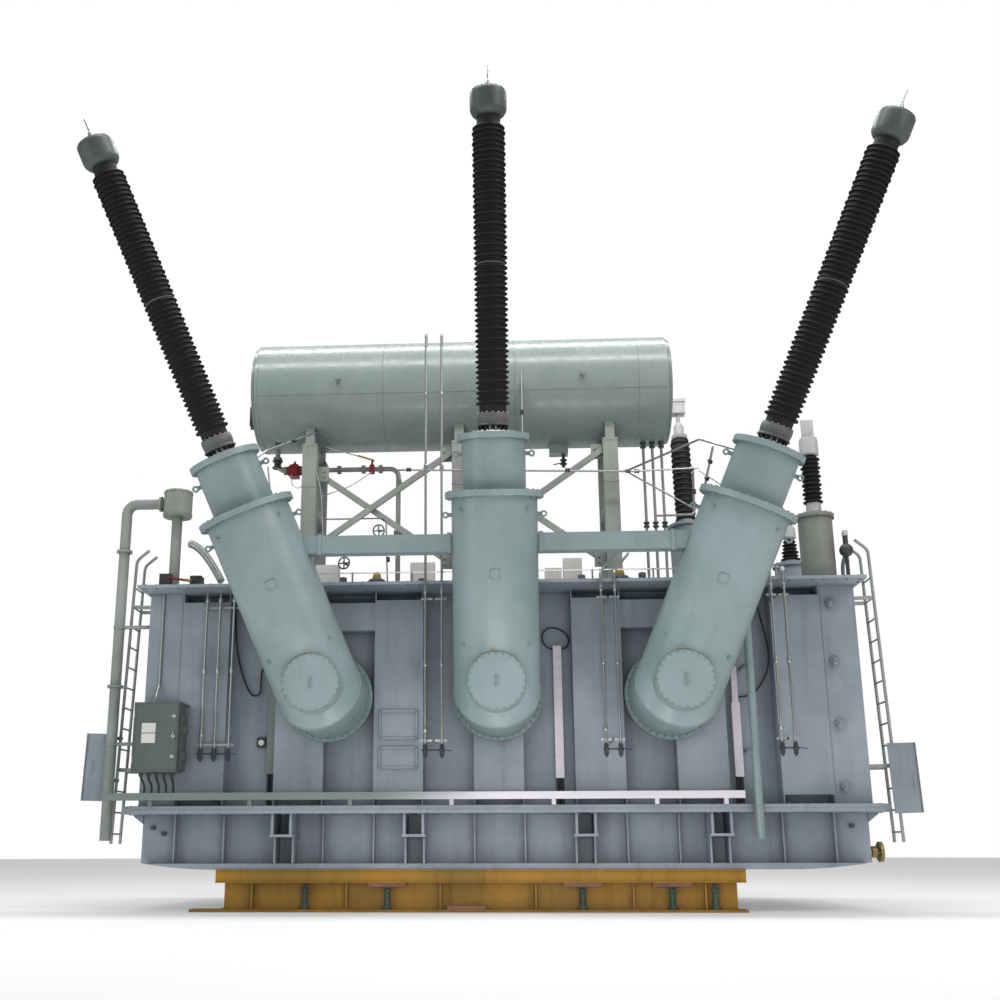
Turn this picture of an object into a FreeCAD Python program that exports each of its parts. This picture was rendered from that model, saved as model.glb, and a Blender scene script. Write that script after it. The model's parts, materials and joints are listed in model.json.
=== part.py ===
"""Three-phase power transformer on its works stand.

Millimetres, +Z up.  X runs along the tank, Y across it (the high-voltage side
faces -Y), and the origin is on the floor under the middle of the tank.
"""
import FreeCAD
import Part
import math
import os

V = FreeCAD.Vector
X_AXIS, Y_AXIS, Z_AXIS = V(1, 0, 0), V(0, 1, 0), V(0, 0, 1)

# ---------------------------------------------------------------- driving sizes
# stand
STAND_HEIGHT = 610.0
STAND_LEFT = -4150.0
STAND_RIGHT = 3475.0
STAND_HALF_WIDTH = 1950.0
STAND_FLANGE = 300.0
STAND_WEB = 30.0
STAND_PLATE = 40.0
STAND_BEAM = 190.0
STAND_BEAM_REACH = 115.0
STAND_FOOT_REACH = {"left": 500.0, "right": 125.0}

# tank
TANK_LENGTH = 11000.0
TANK_WIDTH = 3960.0
SKID_HEIGHT = 90.0
LOWER_HEIGHT = 720.0
UPPER_HEIGHT = 3306.0
WALL_SETBACK = 330.0
END_SETBACK = 200.0
JOINT_PLATE = 57.0
JOINT_REACH = 350.0
JOINT_END_REACH = 195.0
COVER_PLATE = 50.0
COVER_REACH = 500.0
COVER_END_REACH = 70.0
STIFFENER_PITCH = 1530.0
STIFFENER_WIDTH = 760.0
STIFFENER_SHEET = 20.0
STIFFENER_COUNT = 7
STIFFENER_SLOT = 140.0
RIB_DEPTH = 150.0
RIB_SHEET = 25.0

# high-voltage turrets and bushings
PHASE_PITCH = 2600.0
TURRET_HEIGHT = 3165.0
TURRET_LEAN = 13.5
TURRET_SPLAY = 22.3
TURRET_RADIUS = 625.0
TURRET_REACH = 1660.0
TURRET_LENGTH = 2798.0
TURRET_FLANGE_RADIUS = 718.0
RING_RADIUS = 680.0
FLANGE_PLATE = 45.0
NECK_RADIUS = 463.0
NECK_LENGTH = 880.0
NECK_FLANGE_RADIUS = 527.0
COVER_RADIUS = 400.0
COVER_BOSS = 110.0
COVER_THICKNESS = 50.0
INSULATOR_RADIUS = 250.0
INSULATOR_LENGTH = 4100.0
HEAD_RADIUS = 270.0
HEAD_HEIGHT = 440.0
TERMINAL_RADIUS = 16.0
TERMINAL_LENGTH = 210.0
COLLAR_RADIUS = 30.0
COLLAR_HEIGHT = 120.0

# conservator
CONSERVATOR_RADIUS = 955.0
CONSERVATOR_LENGTH = 7060.0
CONSERVATOR_MIDDLE = -585.0
CONSERVATOR_Y = -500.0
CONSERVATOR_HEIGHT = 8685.0
POST_WIDTH = 250.0
POST_PITCH = 2560.0
POST_MIDDLE = -615.0
POST_SPREAD = 500.0

# ---------------------------------------------------------------- worked-out levels
SKID_BASE = STAND_HEIGHT
LOWER_BASE = SKID_BASE + SKID_HEIGHT
JOINT_BASE = LOWER_BASE + LOWER_HEIGHT
UPPER_BASE = JOINT_BASE + 2 * JOINT_PLATE
COVER_BASE = UPPER_BASE + UPPER_HEIGHT
COVER_TOP = COVER_BASE + COVER_PLATE

HALF_LENGTH = TANK_LENGTH / 2
FACE_Y = -TANK_WIDTH / 2
WALL_Y = FACE_Y + WALL_SETBACK
WALL_X = HALF_LENGTH - END_SETBACK
COVER_HALF_X = HALF_LENGTH + COVER_END_REACH
COVER_HALF_Y = TANK_WIDTH / 2 + COVER_REACH
JOINT_HALF_X = HALF_LENGTH + JOINT_END_REACH
JOINT_HALF_Y = TANK_WIDTH / 2 + JOINT_REACH

RING_Y = FACE_Y - 120.0
TURRET_FRONT_Y = FACE_Y - TURRET_REACH
TURRET_AXIS_Y = TURRET_FRONT_Y + 650.0
PHASES = (("left", -1), ("centre", 0), ("right", 1))


# ---------------------------------------------------------------- shape helpers
def box(x0, x1, y0, y1, z0, z1):
    return Part.makeBox(x1 - x0, y1 - y0, z1 - z0, V(x0, y0, z0))


def rod(start, end, radius):
    """Cylinder between two points."""
    run = end.sub(start)
    return Part.makeCylinder(radius, run.Length, start, run)


def beam(start, end, width, depth):
    """Rectangular bar in the XZ plane between two points of equal Y."""
    run = end.sub(start)
    bar = Part.makeBox(run.Length, depth, width, V(0, -depth / 2, -width / 2))
    bar.rotate(V(0, 0, 0), Y_AXIS, -math.degrees(math.atan2(run.z, run.x)))
    bar.translate(start)
    return bar


def bent_pipe(points, radius, bend):
    """Pipe along straight runs joined by tangent arcs of one bend radius."""
    edges = []
    last = points[0]
    for before, corner, after in zip(points, points[1:], points[2:]):
        into = before.sub(corner).normalize()
        out = after.sub(corner).normalize()
        half_turn = (math.pi - into.getAngle(out)) / 2
        inset = bend * math.tan(half_turn)
        first = corner.add(into * inset)
        second = corner.add(out * inset)
        towards = into.add(out).normalize()
        middle = corner.add(towards * (bend / math.cos(half_turn) - bend))
        edges.append(Part.LineSegment(last, first).toShape())
        edges.append(Part.Arc(first, middle, second).toShape())
        last = second
    edges.append(Part.LineSegment(last, points[-1]).toShape())
    direction = points[1].sub(points[0])
    section = Part.Wire([Part.makeCircle(radius, points[0], direction)])
    sweep = Part.BRepOffsetAPI.MakePipeShell(Part.Wire(edges))
    sweep.add(section)
    sweep.build()
    sweep.makeSolid()
    return sweep.shape()


def revolve(profile):
    """Solid of revolution about Z from (radius, height) pairs."""
    points = [V(r, 0, z) for r, z in profile]
    wire = Part.makePolygon(points + points[:1])
    return Part.Face(wire).revolve(V(0, 0, 0), Z_AXIS, 360)


def fuse(first, *others):
    return first.multiFuse(list(others)).removeSplitter()


def mirror_y(shape):
    return shape.mirror(V(0, 0, 0), Y_AXIS)


def mirror_x(shape):
    return shape.mirror(V(0, 0, 0), X_AXIS)


NODES = {}


def node(name, *solids):
    NODES[name] = solids[0] if len(solids) == 1 else Part.makeCompound(list(solids))


# ---------------------------------------------------------------- stand
WEB_BOTTOM, WEB_TOP = STAND_PLATE, STAND_HEIGHT - STAND_BEAM
WEB_INSET = 60.0
STAND_STIFFENERS = (-3723.0, -2297.0, -894.0, 521.0, 1955.0, 3007.0)
GIRDER_Y = -STAND_HALF_WIDTH + STAND_FLANGE / 2


def girder(y):
    """Girder along X: a deep top beam, a stiffened web and a foot flange."""
    half = STAND_FLANGE / 2
    bottom = box(STAND_LEFT - STAND_FOOT_REACH["left"], STAND_RIGHT + STAND_FOOT_REACH["right"],
                 y - half, y + half, 0, STAND_PLATE)
    top = box(STAND_LEFT - STAND_BEAM_REACH, STAND_RIGHT + STAND_BEAM_REACH, y - half, y + half,
              WEB_TOP, STAND_HEIGHT)
    web = box(STAND_LEFT, STAND_RIGHT, y - STAND_WEB / 2, y + STAND_WEB / 2, WEB_BOTTOM, WEB_TOP)
    plates = [box(x - STAND_WEB / 2, x + STAND_WEB / 2, y - half + WEB_INSET, y + half - WEB_INSET,
                  WEB_BOTTOM, WEB_TOP) for x in STAND_STIFFENERS]
    return fuse(bottom, top, web, *plates)


node("stand_girders", girder(GIRDER_Y), girder(-GIRDER_Y))

CROSS_INSIDE = STAND_HALF_WIDTH - STAND_FLANGE
CROSS_END = 150.0
CROSS_WEB_TOP = STAND_HEIGHT - STAND_PLATE
CROSS_X = (STAND_LEFT + CROSS_END, STAND_LEFT / 2, 0.0, STAND_RIGHT / 2, STAND_RIGHT - CROSS_END)
cross_beams = []
for x in CROSS_X:
    cross_beams.append(fuse(
        box(x - 120, x + 120, -CROSS_INSIDE, CROSS_INSIDE, 0, STAND_PLATE),
        box(x - 15, x + 15, -CROSS_INSIDE, CROSS_INSIDE, WEB_BOTTOM, CROSS_WEB_TOP),
        box(x - 120, x + 120, -CROSS_INSIDE, CROSS_INSIDE, CROSS_WEB_TOP, STAND_HEIGHT)))
node("stand_cross_beams", *cross_beams)

PLANK = 55.0
JACK_X = (-2922.0, -1686.0, 1208.0, 2521.0, 3146.0)
PLANKED = (-1686.0, 1208.0, 2521.0)
JACK_Y = GIRDER_Y - STAND_WEB / 2 - 65


def jack(x, top):
    """Screw jack on the girder's bottom flange."""
    profile = [(0, 0), (62, 0), (62, 25), (46, 60), (38, 230), (44, 240), (44, 275), (20, 280),
               (20, top - 22), (34, top - 22), (34, top), (0, top)]
    body = revolve(profile)
    body.translate(V(x, JACK_Y, STAND_PLATE))
    return body


JACK_ROOM = WEB_TOP - WEB_BOTTOM
node("support_jacks", *[jack(x, JACK_ROOM - PLANK if x in PLANKED else JACK_ROOM) for x in JACK_X])
planks = [box(x - 280, x + 280, JACK_Y - 60, JACK_Y + 55, WEB_TOP - PLANK, WEB_TOP) for x in PLANKED]
planks.append(box(-790, -215, JACK_Y - 60, JACK_Y + 55, STAND_PLATE, STAND_PLATE + PLANK))
node("timber_packing", *planks)

# ---------------------------------------------------------------- lower tank
SKID_HALF = HALF_LENGTH - 100.0
SKID_FLAT = HALF_LENGTH - 1250.0
SKID_Y = 1650.0
SKID_WIDTH = 560.0


def skid(y):
    """Runner under the tank whose ends curve up like a sledge."""
    half = SKID_WIDTH / 2
    run = SKID_HALF - SKID_FLAT
    bend = (run * run + SKID_HEIGHT * SKID_HEIGHT) / (2 * SKID_HEIGHT)
    turn = math.asin(run / bend) / 2
    rise_x, rise_z = SKID_FLAT + bend * math.sin(turn), SKID_BASE + bend * (1 - math.cos(turn))
    edges = [
        Part.LineSegment(V(-SKID_HALF, 0, LOWER_BASE), V(SKID_HALF, 0, LOWER_BASE)).toShape(),
        Part.Arc(V(SKID_HALF, 0, LOWER_BASE), V(rise_x, 0, rise_z), V(SKID_FLAT, 0, SKID_BASE)).toShape(),
        Part.LineSegment(V(SKID_FLAT, 0, SKID_BASE), V(-SKID_FLAT, 0, SKID_BASE)).toShape(),
        Part.Arc(V(-SKID_FLAT, 0, SKID_BASE), V(-rise_x, 0, rise_z), V(-SKID_HALF, 0, LOWER_BASE)).toShape(),
    ]
    face = Part.Face(Part.Wire(edges))
    face.translate(V(0, y - half, 0))
    return face.extrude(V(0, SKID_WIDTH, 0))


node("bottom_skids", skid(-SKID_Y), skid(SKID_Y))

# the lower wall is flush with the wall of the upper tank behind its stiffeners
LOWER_HALF_X = HALF_LENGTH + 10.0
node("lower_tank", box(-LOWER_HALF_X, LOWER_HALF_X, WALL_Y, -WALL_Y, LOWER_BASE, JOINT_BASE))

RIB_X = [k * STIFFENER_PITCH + side * STIFFENER_WIDTH / 2
         for k in range(-3, 4) for side in (-1, 1)]
BRACKET_X = (-3240.0, -1270.0, 1270.0, 3240.0)
BRACKET_GAP = 275.0
PAD_OVERHANG = 40.0
RIB_CLEAR = 300.0
BRACKET_DEPTH = 590.0
BRACKET_LEG_DEPTH = 350.0
lower_ribs = []
for x in RIB_X:
    if min(abs(x - b) for b in BRACKET_X) < RIB_CLEAR:
        continue
    rib = box(x - RIB_SHEET / 2, x + RIB_SHEET / 2, WALL_Y - RIB_DEPTH, WALL_Y, LOWER_BASE, JOINT_BASE)
    lower_ribs += [rib, mirror_y(rib)]
node("lower_ribs", *lower_ribs)


def jacking_bracket(x):
    """Two gussets and a lifting pad under the tank joint."""
    half = BRACKET_GAP / 2
    pad_z = JOINT_BASE - 300.0
    front = WALL_Y - BRACKET_DEPTH
    leg_front = WALL_Y - BRACKET_LEG_DEPTH
    gussets = []
    for side in (-1, 1):
        gx = x + side * half
        gussets.append(box(gx - 20, gx + 20, front, WALL_Y, pad_z, JOINT_BASE))
        gussets.append(box(gx - 15, gx + 15, leg_front, WALL_Y, LOWER_BASE, pad_z - 40))
    pad = box(x - half - PAD_OVERHANG, x + half + PAD_OVERHANG, front, WALL_Y, pad_z - 40, pad_z)
    return fuse(pad, *gussets)


brackets = [jacking_bracket(x) for x in BRACKET_X]
node("jacking_brackets", *(brackets + [mirror_y(b) for b in brackets]))

CHAMFER = 170.0


def joint_plate(z):
    """Tank joint flange with cut corners."""
    plate = box(-JOINT_HALF_X, JOINT_HALF_X, -JOINT_HALF_Y, JOINT_HALF_Y, z, z + JOINT_PLATE)
    corners = [e for e in plate.Edges if abs(e.tangentAt(e.FirstParameter).z) > 0.9]
    return plate.makeChamfer(CHAMFER, corners)


node("lower_joint_flange", joint_plate(JOINT_BASE))
node("upper_joint_flange", joint_plate(JOINT_BASE + JOINT_PLATE))

# ---------------------------------------------------------------- upper tank
NOZZLE_RADIUS = 600.0
NOZZLE_CLEAR = 5.0
core = box(-WALL_X, WALL_X, WALL_Y, -WALL_Y, UPPER_BASE, COVER_BASE)
nozzles = []
for _, side in PHASES:
    x = side * PHASE_PITCH
    nozzles.append(fuse(
        rod(V(x, WALL_Y, TURRET_HEIGHT), V(x, RING_Y, TURRET_HEIGHT), NOZZLE_RADIUS),
        rod(V(x, RING_Y + FLANGE_PLATE, TURRET_HEIGHT), V(x, RING_Y, TURRET_HEIGHT), RING_RADIUS)))
node("upper_tank", core)
node("turret_nozzles", *nozzles)


def stiffener(x):
    """Folded-sheet box stiffener, open behind, with its face cut short at both ends."""
    half = STIFFENER_WIDTH / 2
    outer = box(x - half, x + half, FACE_Y, WALL_Y, UPPER_BASE, COVER_BASE)
    hollow = box(x - half + STIFFENER_SHEET, x + half - STIFFENER_SHEET,
                 FACE_Y + STIFFENER_SHEET, WALL_Y, UPPER_BASE, COVER_BASE)
    slots = [box(x - half + STIFFENER_SHEET, x + half - STIFFENER_SHEET, FACE_Y, FACE_Y + STIFFENER_SHEET, a, b)
             for a, b in ((UPPER_BASE, UPPER_BASE + STIFFENER_SLOT), (COVER_BASE - STIFFENER_SLOT, COVER_BASE))]
    return outer.cut(hollow).cut(slots[0]).cut(slots[1])


nozzle_room = [rod(V(side * PHASE_PITCH, WALL_Y, TURRET_HEIGHT), V(side * PHASE_PITCH, FACE_Y - 10, TURRET_HEIGHT),
                   NOZZLE_RADIUS + NOZZLE_CLEAR) for _, side in PHASES]
STIFFENER_X = [(k - (STIFFENER_COUNT - 1) / 2) * STIFFENER_PITCH for k in range(STIFFENER_COUNT)]
fronts = []
for x in STIFFENER_X:
    piece = stiffener(x)
    for cutter in nozzle_room:
        piece = piece.cut(cutter)
    fronts += piece.Solids
node("front_stiffeners", *fronts)
node("rear_stiffeners", *[mirror_y(stiffener(x)) for x in STIFFENER_X])

CORNER_LENGTH = HALF_LENGTH - (STIFFENER_X[-1] + STIFFENER_WIDTH / 2) - 10
CORNER_WIDTH = 900.0
corners = []
for sx in (-1, 1):
    for sy in (-1, 1):
        post = box(HALF_LENGTH - CORNER_LENGTH, HALF_LENGTH, FACE_Y, FACE_Y + CORNER_WIDTH, UPPER_BASE, COVER_BASE)
        post = post.cut(core)
        post = mirror_x(post) if sx < 0 else post
        corners.append(mirror_y(post) if sy > 0 else post)
node("tank_corners", *corners)

END_STIFFENER_WIDTH = 520.0
ends = []
for y in (-500.0, 500.0):
    piece = box(WALL_X, HALF_LENGTH, y - END_STIFFENER_WIDTH / 2, y + END_STIFFENER_WIDTH / 2,
                UPPER_BASE + STIFFENER_SLOT, COVER_BASE - STIFFENER_SLOT)
    ends += [piece, mirror_x(piece)]
node("end_stiffeners", *ends)

node("tank_cover", box(-COVER_HALF_X, COVER_HALF_X, -COVER_HALF_Y, COVER_HALF_Y, COVER_BASE, COVER_TOP))


# ---------------------------------------------------------------- high-voltage turrets
def place(shape, side):
    """Lean an upright shape forward, splay it sideways and set it on its drum."""
    shape = shape.copy()
    shape.rotate(V(0, 0, 0), X_AXIS, TURRET_LEAN)
    shape.rotate(V(0, 0, 0), Y_AXIS, side * TURRET_SPLAY)
    shape.translate(V(side * PHASE_PITCH, TURRET_AXIS_Y, TURRET_HEIGHT))
    return shape


def keep_side(shape, centre, direction):
    """Keep what lies beyond the plane through centre, on the side that direction points to."""
    reach = 2 * TURRET_LENGTH
    return shape.common(Part.makeCylinder(reach, reach, centre, direction))


NECK_TOP = TURRET_LENGTH + NECK_LENGTH
turret_tube = fuse(
    Part.makeCylinder(TURRET_RADIUS, TURRET_LENGTH + 2 * TURRET_RADIUS, V(0, 0, -2 * TURRET_RADIUS)),
    Part.makeCylinder(TURRET_FLANGE_RADIUS, FLANGE_PLATE, V(0, 0, TURRET_LENGTH - FLANGE_PLATE)))
neck = fuse(
    Part.makeCylinder(TURRET_FLANGE_RADIUS, FLANGE_PLATE, V(0, 0, TURRET_LENGTH)),
    Part.makeCylinder(NECK_RADIUS, NECK_LENGTH, V(0, 0, TURRET_LENGTH)),
    Part.makeCylinder(NECK_FLANGE_RADIUS, 2 * FLANGE_PLATE, V(0, 0, NECK_TOP - 2 * FLANGE_PLATE)))

# stations up the bushing from its mounting face, as (radius, height)
SHED_BASE = NECK_TOP + 450.0
SHED_TOP = SHED_BASE + INSULATOR_LENGTH
HEAD_BASE = SHED_TOP + 100.0
HEAD_TOP = HEAD_BASE + HEAD_HEIGHT
COLLAR_TOP = HEAD_TOP + COLLAR_HEIGHT
bushing = revolve([
    (0, NECK_TOP), (340, NECK_TOP), (340, NECK_TOP + 28), (215, NECK_TOP + 28), (215, NECK_TOP + 130),
    (238, NECK_TOP + 130), (238, NECK_TOP + 150), (232, NECK_TOP + 150), (232, NECK_TOP + 305),
    (195, NECK_TOP + 305), (195, SHED_BASE), (INSULATOR_RADIUS, SHED_BASE), (INSULATOR_RADIUS, SHED_TOP),
    (175, SHED_TOP), (175, HEAD_BASE), (HEAD_RADIUS - 70, HEAD_BASE), (HEAD_RADIUS, HEAD_BASE + 90),
    (HEAD_RADIUS, HEAD_TOP - 80), (HEAD_RADIUS - 25, HEAD_TOP - 25), (HEAD_RADIUS - 80, HEAD_TOP),
    (COLLAR_RADIUS, HEAD_TOP), (COLLAR_RADIUS, COLLAR_TOP), (TERMINAL_RADIUS, COLLAR_TOP),
    (TERMINAL_RADIUS, COLLAR_TOP + TERMINAL_LENGTH), (0, COLLAR_TOP + TERMINAL_LENGTH)])

BOSS_FRONT_Y = TURRET_FRONT_Y - COVER_BOSS
LID_FRONT_Y = BOSS_FRONT_Y - COVER_THICKNESS
turret_covers = []
turret_necks = []
for side_name, side in PHASES:
    x = side * PHASE_PITCH

    def along_y(y0, y1, radius):
        return rod(V(x, y0, TURRET_HEIGHT), V(x, y1, TURRET_HEIGHT), radius)

    # tube and drum are cut alike on the plane that halves the angle of the elbow
    elbow = V(x, TURRET_AXIS_Y, TURRET_HEIGHT)
    towards_tube = place(Part.Vertex(0, 0, 1), side).Point.sub(elbow).sub(Y_AXIS)
    tube = keep_side(place(turret_tube, side), elbow, towards_tube)
    drum = keep_side(along_y(RING_Y, TURRET_AXIS_Y - 2 * TURRET_RADIUS, TURRET_RADIUS), elbow, -towards_tube)
    body = fuse(drum,
                along_y(RING_Y, RING_Y - FLANGE_PLATE, RING_RADIUS),
                along_y(TURRET_AXIS_Y, BOSS_FRONT_Y, COVER_RADIUS + 15),
                tube)
    node("turret_" + side_name, body)
    node("bushing_" + side_name, place(bushing, side))
    turret_covers.append(along_y(BOSS_FRONT_Y, LID_FRONT_Y, COVER_RADIUS))
    turret_necks.append(place(neck, side))
node("turret_covers", *turret_covers)
node("turret_necks", *turret_necks)

# ---------------------------------------------------------------- tie beams between the turrets
TIE_Z = 5200.0
TIE_HEIGHT = 265.0
TIE_DEPTH = 200.0
tie_s = (TIE_Z - TURRET_HEIGHT) / math.cos(math.radians(TURRET_LEAN))
TIE_Y = TURRET_AXIS_Y - tie_s * math.sin(math.radians(TURRET_LEAN))
tie_bar = box(-PHASE_PITCH - 1500, PHASE_PITCH + 1500, TIE_Y - TIE_DEPTH / 2, TIE_Y + TIE_DEPTH / 2,
              TIE_Z - TIE_HEIGHT / 2, TIE_Z + TIE_HEIGHT / 2)
for side_name, side in PHASES:
    tie_bar = tie_bar.cut(NODES["turret_" + side_name])
ties = [s for s in tie_bar.Solids if abs(s.CenterOfMass.x) < PHASE_PITCH]
ties.sort(key=lambda s: s.CenterOfMass.x)
node("tie_beams", ties[0], ties[-1])

# ---------------------------------------------------------------- conservator
LEFT_END = CONSERVATOR_MIDDLE - CONSERVATOR_LENGTH / 2
RIGHT_END = CONSERVATOR_MIDDLE + CONSERVATOR_LENGTH / 2
DISH = 60.0
shell_radius = CONSERVATOR_RADIUS
barrel = rod(V(LEFT_END, CONSERVATOR_Y, CONSERVATOR_HEIGHT), V(RIGHT_END, CONSERVATOR_Y, CONSERVATOR_HEIGHT),
             shell_radius)
dished = rod(V(LEFT_END - DISH, CONSERVATOR_Y, CONSERVATOR_HEIGHT),
             V(RIGHT_END + DISH, CONSERVATOR_Y, CONSERVATOR_HEIGHT), shell_radius - 40)
node("conservator", fuse(barrel, dished))

POST_TOP = CONSERVATOR_HEIGHT - 1035.0
SADDLE_HALF = 80.0
CROSS_BAR_Z = COVER_TOP + 1500.0
POST_X = [POST_MIDDLE + k * POST_PITCH for k in (-1, 0, 1)]
POST_Y = [CONSERVATOR_Y - POST_SPREAD, CONSERVATOR_Y + POST_SPREAD]
POST_HALF = POST_WIDTH / 2
POST_DEPTH = 220.0
frames = []
for x in POST_X:
    posts = [box(x - POST_HALF, x + POST_HALF, y - POST_DEPTH / 2, y + POST_DEPTH / 2, COVER_TOP, POST_TOP)
             for y in POST_Y]
    bar = box(x - POST_HALF, x + POST_HALF, POST_Y[0], POST_Y[1], CROSS_BAR_Z, CROSS_BAR_Z + 180)
    saddle = box(x - SADDLE_HALF, x + SADDLE_HALF, POST_Y[0] - POST_DEPTH / 2, POST_Y[1] + POST_DEPTH / 2,
                 POST_TOP - 60, CONSERVATOR_HEIGHT - shell_radius / 2)
    frames.append(fuse(bar, saddle, *posts).cut(barrel))
node("conservator_frames", *frames)

BRACE_WIDTH = 100.0
BRACE_DEPTH = 50.0
BRACE_SPACER = 10.0
BRACE_LOW, BRACE_HIGH = COVER_TOP + 730.0, POST_TOP - 390.0
RISING_BRACE_LIFT = 205.0
FALLING_BRACE_DROP = 110.0
braces = []
for x0, x1 in zip(POST_X, POST_X[1:]):
    a, b = x0 + POST_HALF, x1 - POST_HALF
    y = POST_Y[0]
    room = box(a, b, y - POST_DEPTH / 2, y + POST_DEPTH / 2, COVER_TOP, POST_TOP)
    offset = (BRACE_DEPTH + BRACE_SPACER) / 2
    rising = BRACE_LOW + RISING_BRACE_LIFT, BRACE_HIGH + RISING_BRACE_LIFT
    falling = BRACE_HIGH - FALLING_BRACE_DROP, BRACE_LOW - FALLING_BRACE_DROP
    for plane, z0, z1 in ((y - offset, *rising), (y + offset, *falling)):
        over = BRACE_WIDTH * (z1 - z0) / (b - a)
        braces.append(beam(V(a - BRACE_WIDTH, plane, z0 - over), V(b + BRACE_WIDTH, plane, z1 + over),
                           BRACE_WIDTH, BRACE_DEPTH).common(room))
node("conservator_braces", *braces)

# pipe from the conservator to the tank, with the gas relay in it
OIL_PIPE_RADIUS = 42.0
OIL_PIPE_BEND = 150.0
RELAY_X0, RELAY_X1 = -3660.0, -3425.0
PIPE_TOP_X, PIPE_FOOT_X = -3850.0, -1705.0
PIPE_Z = 7360.0
relay_z = PIPE_Z - 20
gas_relay = fuse(
    box(RELAY_X0 + 40, RELAY_X1 - 40, CONSERVATOR_Y - 95, CONSERVATOR_Y + 95, relay_z - 110, relay_z + 110),
    rod(V(RELAY_X0, CONSERVATOR_Y, PIPE_Z), V(RELAY_X1, CONSERVATOR_Y, PIPE_Z), 85))
conservator_bottom = CONSERVATOR_HEIGHT - CONSERVATOR_RADIUS
oil_pipe = bent_pipe([V(PIPE_TOP_X, CONSERVATOR_Y, conservator_bottom + 10), V(PIPE_TOP_X, CONSERVATOR_Y, PIPE_Z),
                      V(PIPE_FOOT_X, CONSERVATOR_Y, PIPE_Z), V(PIPE_FOOT_X, CONSERVATOR_Y, COVER_TOP)],
                     OIL_PIPE_RADIUS, OIL_PIPE_BEND).cut(gas_relay).cut(barrel)
node("oil_pipe", *oil_pipe.Solids)
node("gas_relay", gas_relay)

# ---------------------------------------------------------------- pressure relief and drain-off pipes
RELIEF_X, RELIEF_Y = 290.0 - HALF_LENGTH, -1780.0
RELIEF_RADIUS = 230.0
RELIEF_BASE, RELIEF_TOP = 6170.0, 6600.0
relief = fuse(
    rod(V(RELIEF_X, RELIEF_Y, COVER_TOP), V(RELIEF_X, RELIEF_Y, COVER_TOP + 40), 160),
    rod(V(RELIEF_X, RELIEF_Y, COVER_TOP), V(RELIEF_X, RELIEF_Y, RELIEF_BASE + 50), 84),
    rod(V(RELIEF_X, RELIEF_Y, RELIEF_BASE), V(RELIEF_X, RELIEF_Y, RELIEF_TOP), RELIEF_RADIUS))
node("relief_device", relief)
DISCHARGE_X = -HALF_LENGTH - 550.0
DISCHARGE_RADIUS = 84.0
DISCHARGE_FOOT = 1035.0
discharge_z = RELIEF_BASE + 230.0
node("discharge_pipe", bent_pipe(
    [V(RELIEF_X - RELIEF_RADIUS, RELIEF_Y, discharge_z), V(DISCHARGE_X, RELIEF_Y, discharge_z),
     V(DISCHARGE_X, RELIEF_Y, DISCHARGE_FOOT)], DISCHARGE_RADIUS, 170.0).cut(relief))
DOWN_PIPE_RADIUS = 60.0
DOWN_PIPE_FOOT = 1035.0
DOWN_PIPE_X = PHASE_PITCH + 1155.0
down_y = -JOINT_HALF_Y - DOWN_PIPE_RADIUS - 15
node("down_pipe", rod(V(DOWN_PIPE_X, down_y, DOWN_PIPE_FOOT), V(DOWN_PIPE_X, down_y, COVER_BASE), DOWN_PIPE_RADIUS))

# ---------------------------------------------------------------- ladders with hinged guards
LADDER_FOOT_X = HALF_LENGTH + 510.0
LADDER_FOOT_Z = 990.0
LADDER_TILT = 1.55
LADDER_Y = -1400.0
LADDER_HALF = 215.0
LADDER_RUN = 4505.0
RUNG_PITCH = 325.0
FIRST_RUNG = 150.0
RUNG_RADIUS = 14.0
STILE_RADIUS = 24.0
STAY_HEIGHTS = (FIRST_RUNG + 3 * RUNG_PITCH, FIRST_RUNG + 11 * RUNG_PITCH)
GUARD_WIDTH = 430.0
GUARD_BAND = 120.0
BAND_FOLD = 36.0
GUARD_INSIDE = {"left": 90.0, "right": -100.0}
GUARD_HEIGHT = 1040.0
GUARD_FEET = {"left": 640.0, "right": 420.0}
GUARD_PLATE = 8.0
GUARD_GAP = 12.0
GUARD_LIP = 30.0
KNUCKLE_GAP = 6.0
KNUCKLE_WALL = 8.0
KNUCKLE_HEIGHT = 50.0
STRAP_LAP = 60.0


def on_ladder(shape, side):
    """Tilt a ladder piece drawn upright at the foot and set it at its end of the tank."""
    shape = shape.copy()
    shape.rotate(V(0, 0, 0), Y_AXIS, -LADDER_TILT)
    shape.translate(V(LADDER_FOOT_X, LADDER_Y, LADDER_FOOT_Z))
    return mirror_x(shape) if side < 0 else shape


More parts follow.
